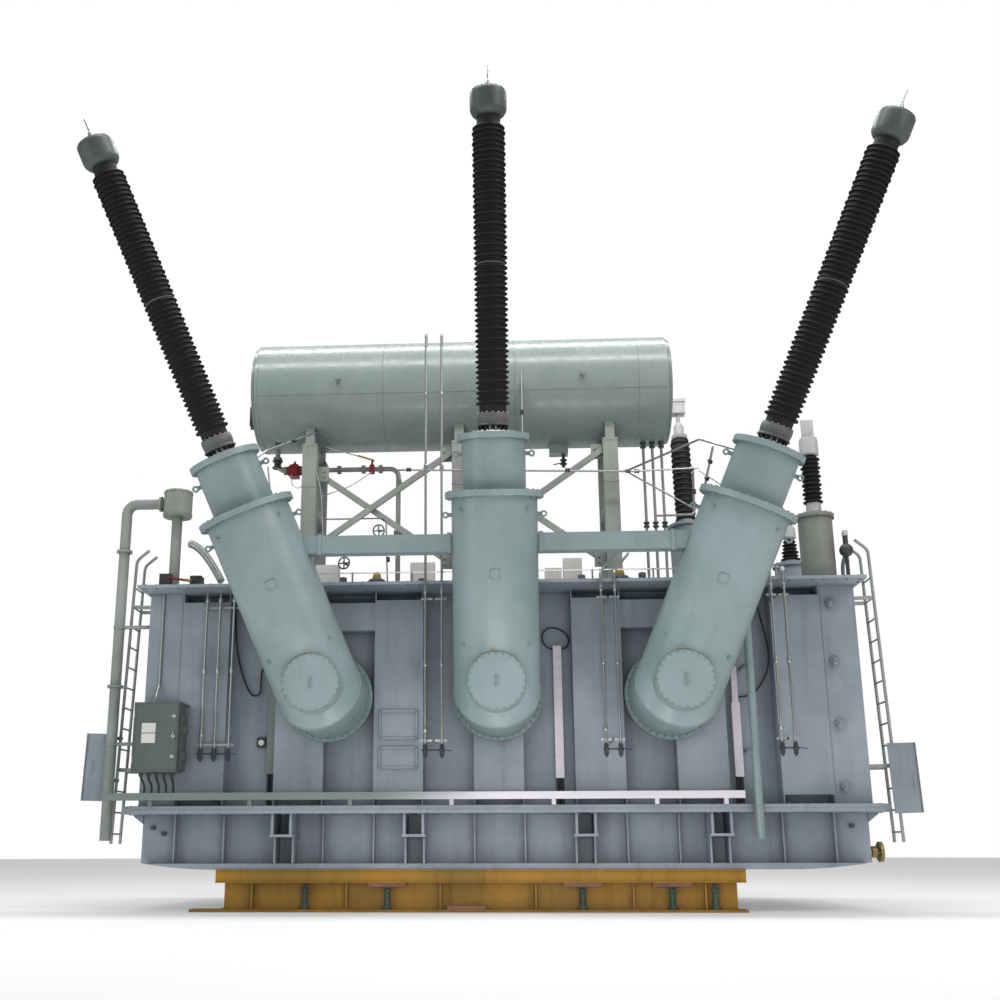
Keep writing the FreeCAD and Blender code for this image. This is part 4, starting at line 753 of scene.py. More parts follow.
# ---------------------------------------------------------------- conservator
# Oil expansion drum welded from rolled strakes with set-in ends, glossy grey-green outside.  It has
# lifting lugs, weld seams, a level gauge on its left end and a sump with a drain valve underneath.
DRUM_GREEN = worn_paint("conservator_gloss_enamel", "#8b9895", "#7e8d89", 0.2, runs=0.12, dust=0.35,
                        scraped=0.1, under="#aeb6b3", shade_in_corners="#48544f")
finish_nodes(DRUM_GREEN, "conservator")
drum_low, drum_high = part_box("conservator")
drum_centre = np.array([(drum_low.x + drum_high.x) / 2, (drum_low.y + drum_high.y) / 2,
                        (drum_low.z + drum_high.z) / 2])
drum_radius = (drum_high.z - drum_low.z) / 2


def hoop(centre, axis, radius, thick, sides=72):
    """Ring-shaped weld bead: a diamond section of a given thickness turned round an axis."""
    section = [(radius, -thick), (radius + thick, 0.0), (radius, thick), (radius - thick, 0.0),
               (radius, -thick)]
    return copies(turned(section, sides), [centre], axis)


def eased(corners, inset, steps=6):
    """Path with rounded corners: (1-t)^2 a + 2 t (1-t) c + t^2 b between points inset from corner c."""
    corners = np.array(corners, float)
    t = np.linspace(0.0, 1.0, steps)[:, None]
    path = [corners[:1]]
    for before, corner, after in zip(corners, corners[1:], corners[2:]):
        reach_a = min(inset, np.linalg.norm(before - corner) * 0.49)
        reach_b = min(inset, np.linalg.norm(after - corner) * 0.49)
        a = corner + (before - corner) / np.linalg.norm(before - corner) * reach_a
        b = corner + (after - corner) / np.linalg.norm(after - corner) * reach_b
        path.append((1 - t) ** 2 * a + 2 * t * (1 - t) * corner + t ** 2 * b)
    return np.concatenate(path + [corners[-1:]])


SEAM_X, SEAM_BEAD = (-4.06, -1.9, 0.35, 2.44), 0.005
seams = [hoop(np.array([x, *drum_centre[1:]]), (1, 0, 0), drum_radius, SEAM_BEAD) for x in SEAM_X]
angle = np.radians(-16.0)
seam_y, seam_z = drum_centre[1] - np.cos(angle) * drum_radius, drum_centre[2] + np.sin(angle) * drum_radius
seams.append(pipe([(drum_low.x + 0.1, seam_y, seam_z), (drum_high.x - 0.1, seam_y, seam_z)], SEAM_BEAD, 6))
LUG_REACH, EYE_REACH = 0.93, 0.985
for x in (-2.66, 1.49):
    for side in (-1, 1):
        lug_y = drum_centre[1] + side * LUG_REACH
        seams.append(block((x - 0.05, lug_y - 0.03, 8.66), (x + 0.05, lug_y + 0.03, 8.72)))
        seams.append(copies(eye_plate, [(x, drum_centre[1] + side * EYE_REACH, 8.63)], (1, 0, 0)))
piece("conservator_seams_and_lugs", joined(*seams), DRUM_GREEN)

CAST_DARK = worn_paint("cast_iron_dark", "#3c4140", "#2a2e2e", 0.4, runs=0.2, dust=0.35, scraped=0.3,
                       under="#8b8d8c")
sump = [block((0.94, -0.62, 7.56), (1.26, -0.38, 7.75)),
        block((0.92, -0.64, 7.73), (1.28, -0.36, 7.75))]
piece("conservator_sump", joined(*sump), DRUM_GREEN)
sump_valve = [pipe([(1.18, -0.5, 7.57), (1.18, -0.5, 7.33)], 0.028, 14),
              copies(turned([(0, 0), (0.06, 0), (0.06, 0.02), (0.035, 0.03), (0.035, 0.06), (0.06, 0.07),
                             (0.06, 0.09), (0, 0.09)], 18), [(1.18, -0.5, 7.38)]),
              bar((1.20, -0.56, 7.40), (1.0, -0.56, 7.36), 0.03, 0.012)]
piece("sump_drain_valve", joined(*sump_valve), CAST_DARK)
GAUGE_OUT = 0.095
gauge = [block((drum_low.x - GAUGE_OUT, -0.98, 8.05), (drum_low.x + 0.09, -0.86, 8.39)),
         block((drum_low.x - GAUGE_OUT - 0.006, -0.95, 8.09), (drum_low.x - GAUGE_OUT, -0.89, 8.35)),
         copies(turned([(0, 0), (0.05, 0), (0.05, 0.02), (0.03, 0.05), (0, 0.05)], 20),
                [(drum_low.x - 0.04, -0.92, z) for z in (8.0, 8.39)])]
piece("level_gauge", joined(*gauge), CAST_DARK)

# ---------------------------------------------------------------- conservator frames
# Box-section posts and crossed flat braces of painted mild steel; the braces are bolted to each
# other where they cross and to gusset plates on the posts.
FRAME_GREY = worn_paint("frame_grey_green_paint", "#9a9f99", "#858a84", 0.5, runs=0.3, dust=0.3, scraped=0.25,
                        under="#9b9a92", shade_in_corners="#44473f")
finish_nodes(FRAME_GREY, "conservator_frames", "conservator_braces", "breather_pipes")
frame_low, frame_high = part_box("conservator_frames")
POST_HALF, GUSSET_REACH, GUSSET_HALF, BASE_Z = 0.125, 0.2, 0.13, 4.89
POSTS_X = (frame_low.x + POST_HALF, -0.615, frame_high.x - POST_HALF)
post_front = frame_low.y
ironwork, brace_bolts = [], []
for left, right in zip(POSTS_X, POSTS_X[1:]):
    for edge, way, heights in ((left + POST_HALF, 1, (5.83, 7.12)), (right - POST_HALF, -1, (5.55, 7.43))):
        for z in heights:
            low, high = sorted((edge, edge + way * GUSSET_REACH))
            ironwork.append(block((low, post_front + 0.1, z - GUSSET_HALF),
                                  (high, post_front + 0.112, z + GUSSET_HALF)))
            for dz in (-0.05, 0.05):
                brace_bolts.append((edge + way * 0.13, post_front + 0.1, z + dz))
for x in POSTS_X:
    ironwork.append(block((x - 0.2, post_front - 0.06, BASE_Z), (x + 0.2, post_front + 0.27, BASE_Z + 0.03)))
    for dx in (-0.16, 0.16):
        brace_bolts.append((x + dx, post_front - 0.03, BASE_Z + 0.03))
    for z0, z1 in ((6.86, 6.89), (7.60, 7.62)):
        ironwork.append(block((x - 0.128, post_front - 0.004, z0), (x + 0.128, post_front + 0.02, z1)))
ironwork.append(copies(bolt(0.04), [p for p in brace_bolts if p[2] > 5], (0, -1, 0)))
ironwork.append(copies(bolt(0.05), [p for p in brace_bolts if p[2] < 5]))
piece("frame_gussets_and_feet", joined(*ironwork), FRAME_GREY)

# ---------------------------------------------------------------- oil pipe and gas relay
# Flanged steel pipe from the conservator to the tank cover, with a lever-operated butterfly valve
# and a red-enamelled gas relay between its flanges.
finish_nodes(TANK_GREY, "low_voltage_turret", "tertiary_turret")
finish_nodes(TURRET_GREEN, "down_pipe")
finish_nodes(FRAME_GREY, "oil_pipe", "relief_device", "discharge_pipe")
RELAY_RED = worn_paint("relay_red_enamel", "#9a1c20", "#7d1418", 0.3, runs=0.2, dust=0.3, scraped=0.4,
                       under="#5a1a18")
finish_nodes(RELAY_RED, "gas_relay")
flange_pair = joined(disc(0.075, -0.026, -0.004, 24), disc(0.075, 0.004, 0.026, 24),
                     *[copies(disc(0.009, -0.04, 0.04, 6), [(0.06 * math.cos(a), 0.06 * math.sin(a), 0)])
                       for a in np.arange(4) * math.pi / 2 + 0.4])
PIPE_Y, PIPE_Z = -0.5, 7.36
places = [(-2.75, PIPE_Y, PIPE_Z), (-2.32, PIPE_Y, PIPE_Z), (-2.02, PIPE_Y, PIPE_Z), (-3.39, PIPE_Y, PIPE_Z),
          (-3.70, PIPE_Y, PIPE_Z)]
pipe_work = [copies(flange_pair, places, (1, 0, 0)),
             copies(flange_pair, [(-3.85, PIPE_Y, 7.58), (-1.705, PIPE_Y, 6.2), (-1.705, PIPE_Y, 5.02)])]
piece("oil_pipe_flanges", joined(*pipe_work), FRAME_GREY)
valve_body = [copies(turned([(0, -0.04), (0.085, -0.04), (0.09, 0), (0.085, 0.04), (0, 0.04)], 20),
                     [(-2.17, PIPE_Y, PIPE_Z)], (1, 0, 0)),
              pipe([(-2.17, PIPE_Y, PIPE_Z), (-2.17, PIPE_Y, PIPE_Z + 0.17)], 0.02, 10)]
piece("oil_valve", joined(*valve_body), RELAY_RED)
LEVER_YELLOW = worn_paint("lever_yellow_enamel", "#c9a52a", "#a98a20", 0.35, runs=0.2, dust=0.2, scraped=0.4,
                          under="#6c6b60")
piece("oil_valve_lever", joined(bar((-2.13, PIPE_Y - 0.02, PIPE_Z + 0.155),
                                    (-2.42, PIPE_Y - 0.02, PIPE_Z + 0.25), 0.05, 0.02)), LEVER_YELLOW)
relay_parts = [copies(turned([(0, 0), (0.055, 0), (0.055, 0.012), (0.045, 0.014), (0, 0.014)], 20),
                      [(-3.5425, -0.595, 7.34)], (0, -1, 0)),
               copies(bolt(0.022), circle(np.array([-3.5425, -0.595, 7.34]), np.array([0, -1.0, 0]), 0.075,
                                          8), (0, -1, 0)), copies(turned([(0, 0), (0.05, 0), (0.05, 0.03),
                                                                          (0.02, 0.04), (0.02, 0.08),
                                                                          (0, 0.08)], 16), [(-3.5425, -0.5,
                                                                                             7.45)])]
piece("gas_relay_fittings", joined(*relay_parts), RELAY_RED)
piece("relay_isolating_valve",
      joined(copies(turned([(0, -0.075), (0.09, -0.075), (0.09, -0.05), (0.06, -0.04), (0.06, 0.04),
                            (0.09, 0.05), (0.09, 0.075), (0, 0.075)], 20), [(-3.85, PIPE_Y, 7.48)]),
             bar((-3.9, PIPE_Y - 0.1, 7.50), (-3.76, PIPE_Y - 0.1, 7.46), 0.03, 0.015)), CAST_DARK)

# ---------------------------------------------------------------- vent, breather and sensing pipes
# Small stainless and painted tubes above the cover, screwed together with unions and small valves.
# drawn stainless tube: a bright surface with long streaks up and down it
STAINLESS = bare_metal("stainless_tube", "#8f9391", "#c2c5c3", 0.22, 0.42, 0.9, 1.0,
                       stretch=(30.0, 30.0, 2.0))
finish_nodes(STAINLESS, "vent_pipes", "sampling_pipes")

TUBE = 0.014
union = turned([(0, -0.04), (0.03, -0.04), (0.034, -0.03), (0.034, -0.008), (0.027, -0.006), (0.027, 0.006),
                (0.034, 0.008), (0.034, 0.03), (0.03, 0.04), (0, 0.04)], 10)
tubes = [pipe(eased([(0.46, -1.45, 8.74), (0.46, -1.45, 7.42), (0.46, -1.2, 7.30)], 0.08), TUBE, 10),
         pipe(eased([(2.2, -1.36, 6.95), (2.9, -1.5, 6.93), (3.3, -1.7, 6.88)], 0.1), TUBE, 10),
         pipe([(2.22, -1.36, 6.92), (3.23, -1.62, 6.2)], TUBE, 10),
         pipe([(3.35, -1.42, 6.93), (3.67, -1.62, 6.6)], TUBE, 10),
         pipe(eased([(2.63, -1.3, 6.2), (3.25, -1.3, 6.21), (3.27, -1.3, 6.95)], 0.06), TUBE * 1.4, 10),
         pipe([(3.28, -3.15, 6.74), (3.22, -2.6, 6.29)], TUBE * 1.3, 10),
         pipe(eased([(-2.89, -1.0, 6.32), (-1.86, -1.0, 6.32), (-1.82, -1.0, 5.0)], 0.08), TUBE, 10),
         pipe(eased([(-3.58, -0.6, 7.26), (-3.56, -0.6, 7.03), (-3.40, -0.6, 7.0), (-3.34, -0.6, 7.2)], 0.08),
              0.008, 8), pipe(eased([(-2.16, -0.6, 7.28), (-2.5, -0.75, 6.98), (-3.0, -0.9, 6.75)], 0.2),
                              0.009, 8), pipe(eased([(-2.95, -0.75, 7.7), (-2.6, -0.65, 7.62),
                                                     (-2.42, -0.53, 7.6)], 0.2), 0.009, 8),
         pipe(eased([(-3.05, -1.12, 7.15), (-2.95, -1.12, 6.75), (-2.9, -1.12, 5.9)], 0.2), 0.009, 8),
         pipe([(-3.49, -2.96, 6.62), (-3.41, -3.0, 6.05)], 0.012, 8)]
piece("sensing_tubes", joined(*tubes), STAINLESS)
unions = [copies(union, [(2.2, -1.35, 6.96), (2.34, -1.36, 6.955), (3.2, -1.6, 6.9), (1.2, -1.35, 7.0),
                         (-1.45, -1.35, 7.06)], (1, 0, -0.05)),
          copies(union, [(0.46, -1.45, 8.0), (3.27, -1.3, 6.6), (-1.82, -1.0, 5.6)]),
          copies(union, [(3.26, -2.95, 6.57), (3.24, -2.7, 6.38)], (0.06, -0.55, -0.45)),
          copies(union, [(-3.33, -3.0, 6.99), (-3.18, -2.5, 7.2)], (0.25, 0.5, 0.3))]
breather_low, breather_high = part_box("breather_pipes")
breather_y = (breather_low.y + breather_high.y) / 2
collar = turned([(0, -0.05), (0.045, -0.05), (0.055, -0.03), (0.03, 0.0), (0.055, 0.03), (0.045, 0.05),
                 (0, 0.05)], 16)
breather_at = [(x, breather_y, z) for x in (2.56, 2.715, 2.87) for z in (7.68, 6.25)]
unions.append(copies(collar, breather_at))
piece("tube_unions", joined(*unions), CAST_DARK)

# ---------------------------------------------------------------- instruments on the cover
# Relief valves with yellow indicator pins, thermometer pockets, white junction boxes on legs, two
# hand wheels and a thin stainless tube that runs along behind the rim.
dome = turned([(0, 0), (0.17, 0), (0.17, 0.03), (0.13, 0.035), (0.13, 0.14), (0.16, 0.16), (0.16, 0.2),
               (0.12, 0.24), (0.06, 0.27), (0, 0.28)], 28)
COVER_TOP = cover_high.z
domes = [(-1.94, -1.55, COVER_TOP), (1.98, -1.55, COVER_TOP), (-0.3, 1.3, COVER_TOP), (-3.6, 1.3, COVER_TOP)]
piece("relief_valves", copies(dome, domes), CAST_DARK)
pins = copies(turned([(0, 0), (0.06, 0), (0.07, 0.05), (0.05, 0.1), (0.02, 0.12), (0, 0.12)], 16),
              [(x, y, z + 0.25) for x, y, z in domes])
piece("relief_pins", pins, LEVER_YELLOW)
rail_z, rail_y = COVER_TOP + 0.16, cover_low.y + 0.1
rail = [pipe([(-3.2, rail_y, rail_z), (4.3, rail_y, rail_z)], 0.011, 8)]
rail += [pipe([(x, rail_y, COVER_TOP), (x, rail_y, rail_z + 0.01)], 0.014, 8)
         for x in np.linspace(-3.15, 4.25, 9)]
piece("cover_rail_tube", joined(*rail), STAINLESS)
pocket = turned([(0, 0), (0.05, 0), (0.05, 0.05), (0.03, 0.06), (0.03, 0.15), (0.06, 0.16), (0.06, 0.23),
                 (0, 0.25)], 16)
pockets = [(-2.46, -1.75, COVER_TOP), (-1.2, -1.6, COVER_TOP), (1.35, -1.7, COVER_TOP),
           (2.3, -1.8, COVER_TOP), (0.9, -1.2, COVER_TOP), (-4.7, 0.6, COVER_TOP), (-0.9, 0.9, COVER_TOP)]
piece("thermometer_pockets", copies(pocket, pockets), CAST)

WHITE_ENAMEL = worn_paint("white_enamelled_steel", "#dddcd8", "#cfcec9", 0.35, runs=0.15, dust=0.2,
                          scraped=0.1, under="#b8b8b4", shade_in_corners="#8a8a84")
boxes = [block((-2.98, -1.35, COVER_TOP + 0.16), (-2.6, -1.15, COVER_TOP + 0.55)),
         block((-1.42, -1.3, COVER_TOP + 0.18), (-1.02, -1.1, COVER_TOP + 0.58)),
         block((0.78, -1.45, COVER_TOP + 0.12), (1.05, -1.25, COVER_TOP + 0.42)),
         block((1.08, -1.45, COVER_TOP + 0.14), (1.38, -1.25, COVER_TOP + 0.58))]
legs = [block((x, -1.3, COVER_TOP), (x + 0.04, -1.26, COVER_TOP + 0.2))
        for x in (-2.95, -2.66, -1.38, -1.08, 0.82, 0.98, 1.12, 1.3)]
piece("junction_boxes", joined(*boxes, *legs), WHITE_ENAMEL)
wheel_ring = joined(copies(turned([(0.09, -0.012), (0.11, 0), (0.09, 0.012), (0.082, 0), (0.09, -0.012)], 24),
                           [(0, 0, 0)]), block((-0.09, -0.01, -0.008), (0.09, 0.01, 0.008)),
                    block((-0.01, -0.09, -0.008), (0.01, 0.09, 0.008)), disc(0.02, -0.02, 0.15, 12))
piece("hand_wheels", joined(copies(wheel_ring, [(-2.46, -1.7, 5.38)], (0.3, 1, 0)),
                            copies(wheel_ring, [(-1.96, -1.2, 6.05)], (0.2, 1, 0.2))), CAST)

# ---------------------------------------------------------------- pressure relief and drain-off pipes
# A drum-shaped relief chamber on a stand pipe, with a flanged discharge pipe carried down outside
# the end wall on welded brackets.
relief_low, relief_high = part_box("relief_device")
relief_x, relief_y = (relief_low.x + relief_high.x) / 2, (relief_low.y + relief_high.y) / 2
relief_parts = [copies(turned([(0.226, -0.012), (0.236, -0.01), (0.236, 0.01), (0.226, 0.012),
                               (0.226, -0.012)], 48), [(relief_x, relief_y, relief_low.z + 1.32),
                                                       (relief_x, relief_y, relief_high.z - 0.03)]),
                copies(bolt(0.028), circle(np.array([relief_x, relief_y, relief_high.z - 0.001]),
                                           np.array([0, 0, 1.0]), 0.2, 14)),
                copies(bolt(0.032), circle(np.array([relief_x, relief_y, COVER_TOP + 0.04]),
                                           np.array([0, 0, 1.0]), 0.125, 10))]
points, faces = joined(*relief_parts)
points[:, 2] = np.minimum(points[:, 2], relief_high.z + 0.02)
discharge_low, discharge_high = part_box("discharge_pipe")
DISCHARGE_RADIUS = 0.084
pipe_x, pipe_y = discharge_low.x + DISCHARGE_RADIUS, (discharge_low.y + discharge_high.y) / 2
clamp = sleeve(0.08, 0.092, 0.03, 24)
flange = sleeve(0.08, 0.125, 0.02, 28)
clamps = [copies(clamp, [(pipe_x, pipe_y, z) for z in (4.35, 2.5)]),
          copies(flange, [(pipe_x, pipe_y, z) for z in (5.6, 3.4)]),
          copies(flange, [(relief_low.x - 0.05, pipe_y, discharge_high.z - DISCHARGE_RADIUS)], (1, 0, 0))]
for z in (4.35, 2.5):
    clamps.append(block((pipe_x + 0.08, pipe_y - 0.03, z - 0.025),
                        (wall_low.x + 0.02, pipe_y + 0.03, z + 0.025)))
piece("relief_and_discharge_fittings", joined((points, faces), *clamps), FRAME_GREY)
down_low, down_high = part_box("down_pipe")
down_x, down_y = (down_low.x + down_high.x) / 2, (down_low.y + down_high.y) / 2
straps = []
STRAP_ROOTS = {joint_high.z: joint_low.y, 2.35: WALL_Y, 3.6: WALL_Y}
for z, root in STRAP_ROOTS.items():
    straps.append(copies(sleeve(0.058, 0.068, 0.02, 28), [(down_x, down_y, z)]))
    straps.append(block((down_x - 0.02, down_y + 0.055, z - 0.02), (down_x + 0.02, root, z + 0.02)))
piece("down_pipe_straps", joined(*straps), TURRET_GREEN)
base_valve = [block((-5.40, -1.95, COVER_TOP + 0.02), (-5.22, -1.75, COVER_TOP + 0.3)),
              block((-4.9, -1.95, COVER_TOP), (-4.72, -1.75, COVER_TOP + 0.26)),
              pipe([(-5.3, -1.85, COVER_TOP + 0.12), (-4.75, -1.85, COVER_TOP + 0.1)], 0.03, 12)]
piece("rim_valve_bodies", joined(*base_valve), CAST_DARK)
piece("rim_valve_lever", bar((-5.24, -2.0, COVER_TOP + 0.22), (-4.93, -2.0, COVER_TOP + 0.17), 0.05, 0.03),
      RELAY_RED)
piece("rim_valve_tip", bar((-4.96, -2.0, COVER_TOP + 0.178), (-4.86, -2.0, COVER_TOP + 0.16), 0.06, 0.035),
      LEVER_YELLOW)
# short corrugated hose, bent along (1-t)^2 a + 2 t (1-t) b + t^2 c
HOSE_RINGS, HOSE_CREST, HOSE_VALLEY = 61, 0.062, 0.05
t = np.linspace(0.0, 1.0, HOSE_RINGS)[:, None]
hose_a, hose_b, hose_c = np.array([[-4.95, -1.85, 5.70], [-4.70, -1.95, 5.62], [-4.33, -2.2, 5.0]])
hose_line = (1 - t) ** 2 * hose_a + 2 * t * (1 - t) * hose_b + t ** 2 * hose_c
hose_radii = np.where(np.arange(HOSE_RINGS) % 2 == 0, HOSE_CREST, HOSE_VALLEY)
piece("corrugated_hose", pipe(hose_line, hose_radii, 18), STAINLESS)

# ---------------------------------------------------------------- ladders
# Hot-dip galvanised tube ladders with a steel plate guard hinged on the front stile of each.
# hot-dip zinc: flat crystals about 17 mm wide, each its own grey
GALVANISED, tree = new_material("galvanised_steel")
place = add_node(tree, "TexCoord", output="Object")
spangle = add_node(tree, "TexVoronoi", {"feature": "F1"}, {"Vector": place, "Scale": 60.0}, "Color")
grey = add_node(tree, "RGBToBW", {}, {"Color": spangle})
tone = add_node(tree, "Mix", {"data_type": "RGBA"}, {0: grey, 6: linear("#8b918f"), 7: linear("#b3b8b6")})
rough = add_node(tree, "MapRange", {}, {"Value": grey, "To Min": 0.4, "To Max": 0.6})
shader = add_node(tree, "BsdfPrincipled", {}, {"Base Color": tone, "Roughness": rough, "Metallic": 0.55})
add_node(tree, "OutputMaterial", {}, {"Surface": shader})
finish_nodes(GALVANISED, "ladder_stiles", "ladder_rungs", "ladder_stays")
finish_nodes(TANK_GREY, "ladder_guard_left", "ladder_guard_right")
for name, x, z in (("left", -6.368, 2.159), ("right", 6.238, 1.877)):
    low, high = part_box("ladder_guard_" + name)
    front_y = low.y
    handle = pipe(eased([(x, front_y + 0.012, z - 0.07), (x, front_y + 0.002, z - 0.07),
                         (x, front_y + 0.002, z + 0.07), (x, front_y + 0.012, z + 0.07)], 0.01), 0.007, 10)
    plate_screws = copies(bolt(0.016), [(x, front_y + 0.03, z + dz) for dz in (-0.11, 0.11)], (0, -1, 0))
    piece("guard_handle_" + name, joined(handle, plate_screws), ZINC, "ladder_guard_" + name)

# ---------------------------------------------------------------- control cabinet
# Sheet-steel cabinet in dark grey-green powder coat; the door has two blank white plates, lift-off
# hinges and three quarter-turn latches, and its cables leave through glands underneath.
POWDER_GREEN = worn_paint("cabinet_powder_coat", "#5a6561", "#505b57", 0.45, runs=0.2, dust=0.35, scraped=0.3,
                          under="#98a09c", shade_in_corners="#353b38")
finish_nodes(POWDER_GREEN, "control_cabinet", "cabinet_door")
cabinet_low, cabinet_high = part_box("control_cabinet")
door_low, door_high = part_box("cabinet_door")
lip = []
for a, b in (((door_low.x + 0.02, door_low.z + 0.02), (door_high.x - 0.02, door_low.z + 0.035)),
             ((door_low.x + 0.02, door_high.z - 0.035), (door_high.x - 0.02, door_high.z - 0.02)),
             ((door_low.x + 0.02, door_low.z + 0.035), (door_low.x + 0.035, door_high.z - 0.035)),
             ((door_high.x - 0.035, door_low.z + 0.035), (door_high.x - 0.02, door_high.z - 0.035))):
    lip.append(block((a[0], door_low.y - 0.003, a[1]), (b[0], door_low.y, b[1])))
piece("door_folded_edge", joined(*lip), POWDER_GREEN, "cabinet_door")
latch = [copies(turned([(0, 0), (0.028, 0), (0.028, 0.006), (0.018, 0.012), (0, 0.012)], 20),
                [(door_high.x - 0.07, door_low.y, z) for z in (2.25, 2.55, 2.85)], (0, -1, 0)),
         block((door_high.x - 0.078, door_low.y - 0.022, 2.50),
               (door_high.x - 0.062, door_low.y - 0.01, 2.62))]
piece("door_latches", joined(*latch), ZINC, "cabinet_door")
hinge_rods = [pipe([(door_low.x + 0.012, door_low.y - 0.006, z - 0.05),
                    (door_low.x + 0.012, door_low.y - 0.006, z + 0.05)], 0.008, 10) for z in (2.2, 2.88)]
piece("door_hinges", joined(*hinge_rods), ZINC, "cabinet_door")
plate_low, plate_high = (-5.335, door_low.y - 0.003, 2.447), (-5.122, door_low.y, 2.745)
label = [block(plate_low, (plate_high[0], plate_high[1], 2.59)),
         block((plate_low[0], plate_low[1], 2.60), plate_high)]
piece("blank_door_plates", joined(*label), WHITE_ENAMEL, "cabinet_door")
side_gear = [block((cabinet_high.x, -2.44, 2.06), (cabinet_high.x + 0.03, -2.16, 2.9)),
             block((cabinet_high.x, -2.40, 2.6), (cabinet_high.x + 0.07, -2.25, 2.72)),
             block((cabinet_high.x, -2.40, 2.2), (cabinet_high.x + 0.07, -2.25, 2.32)),
             block((cabinet_low.x - 0.012, cabinet_low.y + 0.02, cabinet_high.z - 0.006),
                   (cabinet_high.x + 0.012, cabinet_high.y, cabinet_high.z + 0.008))]
piece("cabinet_side_fittings", joined(*side_gear), POWDER_GREEN)

# extruded black PVC: a soft sheen, scuffed over about 15 mm
BLACK_PVC, tree = new_material("black_pvc_sheath")
place = add_node(tree, "TexCoord", output="Object")
scuff = add_node(tree, "TexNoise", {}, {"Vector": place, "Scale": 60.0, "Detail": 3.0})
tone = add_node(tree, "Mix", {"data_type": "RGBA"}, {0: scuff, 6: linear("#141517"), 7: linear("#27282a")})
rough = add_node(tree, "MapRange", {}, {"Value": scuff, "To Min": 0.4, "To Max": 0.62})
grain = add_node(tree, "Bump", {}, {"Height": scuff, "Distance": 0.0006, "Strength": 0.4})
shader = add_node(tree, "BsdfPrincipled", {}, {"Base Color": tone, "Roughness": rough, "Normal": grain})
add_node(tree, "OutputMaterial", {}, {"Surface": shader})
gland = turned([(0, 0), (0.03, 0), (0.03, -0.02), (0.036, -0.022), (0.036, -0.04), (0.026, -0.055),
                (0, -0.055)], 8)
gland_x = np.linspace(-5.37, -4.9, 5)
piece("cable_glands", copies(gland, [(x, -2.36, cabinet_low.z) for x in gland_x]), CAST_DARK)


def ribbed(path, radius, rib):
    """Corrugated conduit: rings whose radius swings between two values from one to the next."""
    path = np.array(path, float)
    lengths = np.concatenate([[0], np.cumsum(np.linalg.norm(np.diff(path, axis=0), axis=1))])
    stations = np.linspace(0, lengths[-1], max(8, int(lengths[-1] / 0.012)))
    line = np.stack([np.interp(stations, lengths, path[:, i]) for i in range(3)], -1)
    return pipe(line, np.where(np.arange(len(line)) % 2 == 0, radius, radius - rib), 12)


conduits = []
tray_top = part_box("cable_tray")[1].z
for k, x in enumerate(gland_x):
    foot = -5.3 + 0.11 * k
    conduits.append(ribbed(eased([(x, -2.36, cabinet_low.z - 0.04), (x, -2.36, 1.95 - 0.02 * (k % 2)),
                                  (foot, -2.37, 1.84), (foot, -2.37, tray_top)], 0.07, 10), 0.018, 0.003))
piece("cabinet_conduits", joined(*conduits), BLACK_PVC)
stand_tube = [pipe(eased([(-5.283, -1.995, cover_low.z), (-5.277, -1.995, 3.4), (-5.275, -2.15, 3.2),
                          (-5.275, -2.2, 3.06)], 0.08), 0.02, 12)]
piece("cabinet_feed_tube", joined(*stand_tube), STAINLESS)

# ---------------------------------------------------------------- cable tray and trunkings
# Folded mill-finish aluminium, with a painted green-grey reflection towards the left: a covered tray along
# the tank joint and upright trunkings on the wall; black flexible conduit comes out of the trunkings' feet.
# mill-finish sheet: rolling lines along its length, pale on the right, with a painted grey-green reflection
# darkening it towards the left
MILL_ALUMINIUM, tree = new_material("mill_finish_aluminium")
place = add_node(tree, "TexCoord", output="Object")
rolled = add_node(tree, "Mapping", {}, {"Vector": place, "Scale": (0.6, 25.0, 25.0)})
lines = add_node(tree, "TexNoise", {}, {"Vector": rolled, "Scale": 1.0, "Detail": 4.0})
cloud = add_node(tree, "TexNoise", {}, {"Vector": place, "Scale": 1.4, "Detail": 4.0})
tone = add_node(tree, "Mix", {"data_type": "RGBA"}, {0: cloud, 6: linear("#d8d5db"), 7: linear("#f0eaf2")})
# painted reflection: from x = 0.3 down to x = -2.0 the colour turns to a grey-green reflection
where = add_node(tree, "SeparateXYZ", {}, {"Vector": place}, "X")
painted_reflection_left = add_node(tree, "MapRange", {"interpolation_type": "SMOOTHSTEP"},
                     {"Value": where, "From Min": 0.3, "From Max": -2.0})
tone = add_node(tree, "Mix", {"data_type": "RGBA"}, {0: painted_reflection_left, 6: tone, 7: linear("#7f8c86")})
tone = add_node(tree, "Mix", {"data_type": "RGBA", "blend_type": "MULTIPLY"},
                {0: lines, 6: tone, 7: linear("#dfe0e0")})
rough = add_node(tree, "MapRange", {}, {"Value": lines, "To Min": 0.3, "To Max": 0.55})
shader = add_node(tree, "BsdfPrincipled", {}, {"Base Color": tone, "Roughness": rough, "Metallic": 0.12})
add_node(tree, "OutputMaterial", {}, {"Surface": shader})
finish_nodes(MILL_ALUMINIUM, "cable_tray", "cable_trunkings")
tray_low, tray_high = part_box("cable_tray")
TRAY_TOP, TRAY_BOTTOM = tray_high.z, tray_high.z - 0.105
tray_front = tray_low.y
lids = []
for a, b in zip(np.linspace(tray_low.x, tray_high.x, 6)[:-1], np.linspace(tray_low.x, tray_high.x, 6)[1:]):
    lids.append(block((a + 0.004, tray_front - 0.002, TRAY_TOP - 0.022),
                      (b - 0.004, tray_front + 0.01, TRAY_TOP + 0.002)))
lids.append(block((tray_low.x + 0.02, tray_front - 0.001, TRAY_BOTTOM + 0.002),
                  (tray_high.x, tray_front + 0.01, TRAY_BOTTOM + 0.012)))
piece("tray_lids", joined(*lids), MILL_ALUMINIUM)
trunk = [(-3.54, 2.03, 3.15), (0.93, 1.95, 3.99), (3.64, 1.955, 3.08)]
trunk_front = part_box("cable_trunkings")[0].y
lids, feet = [], []
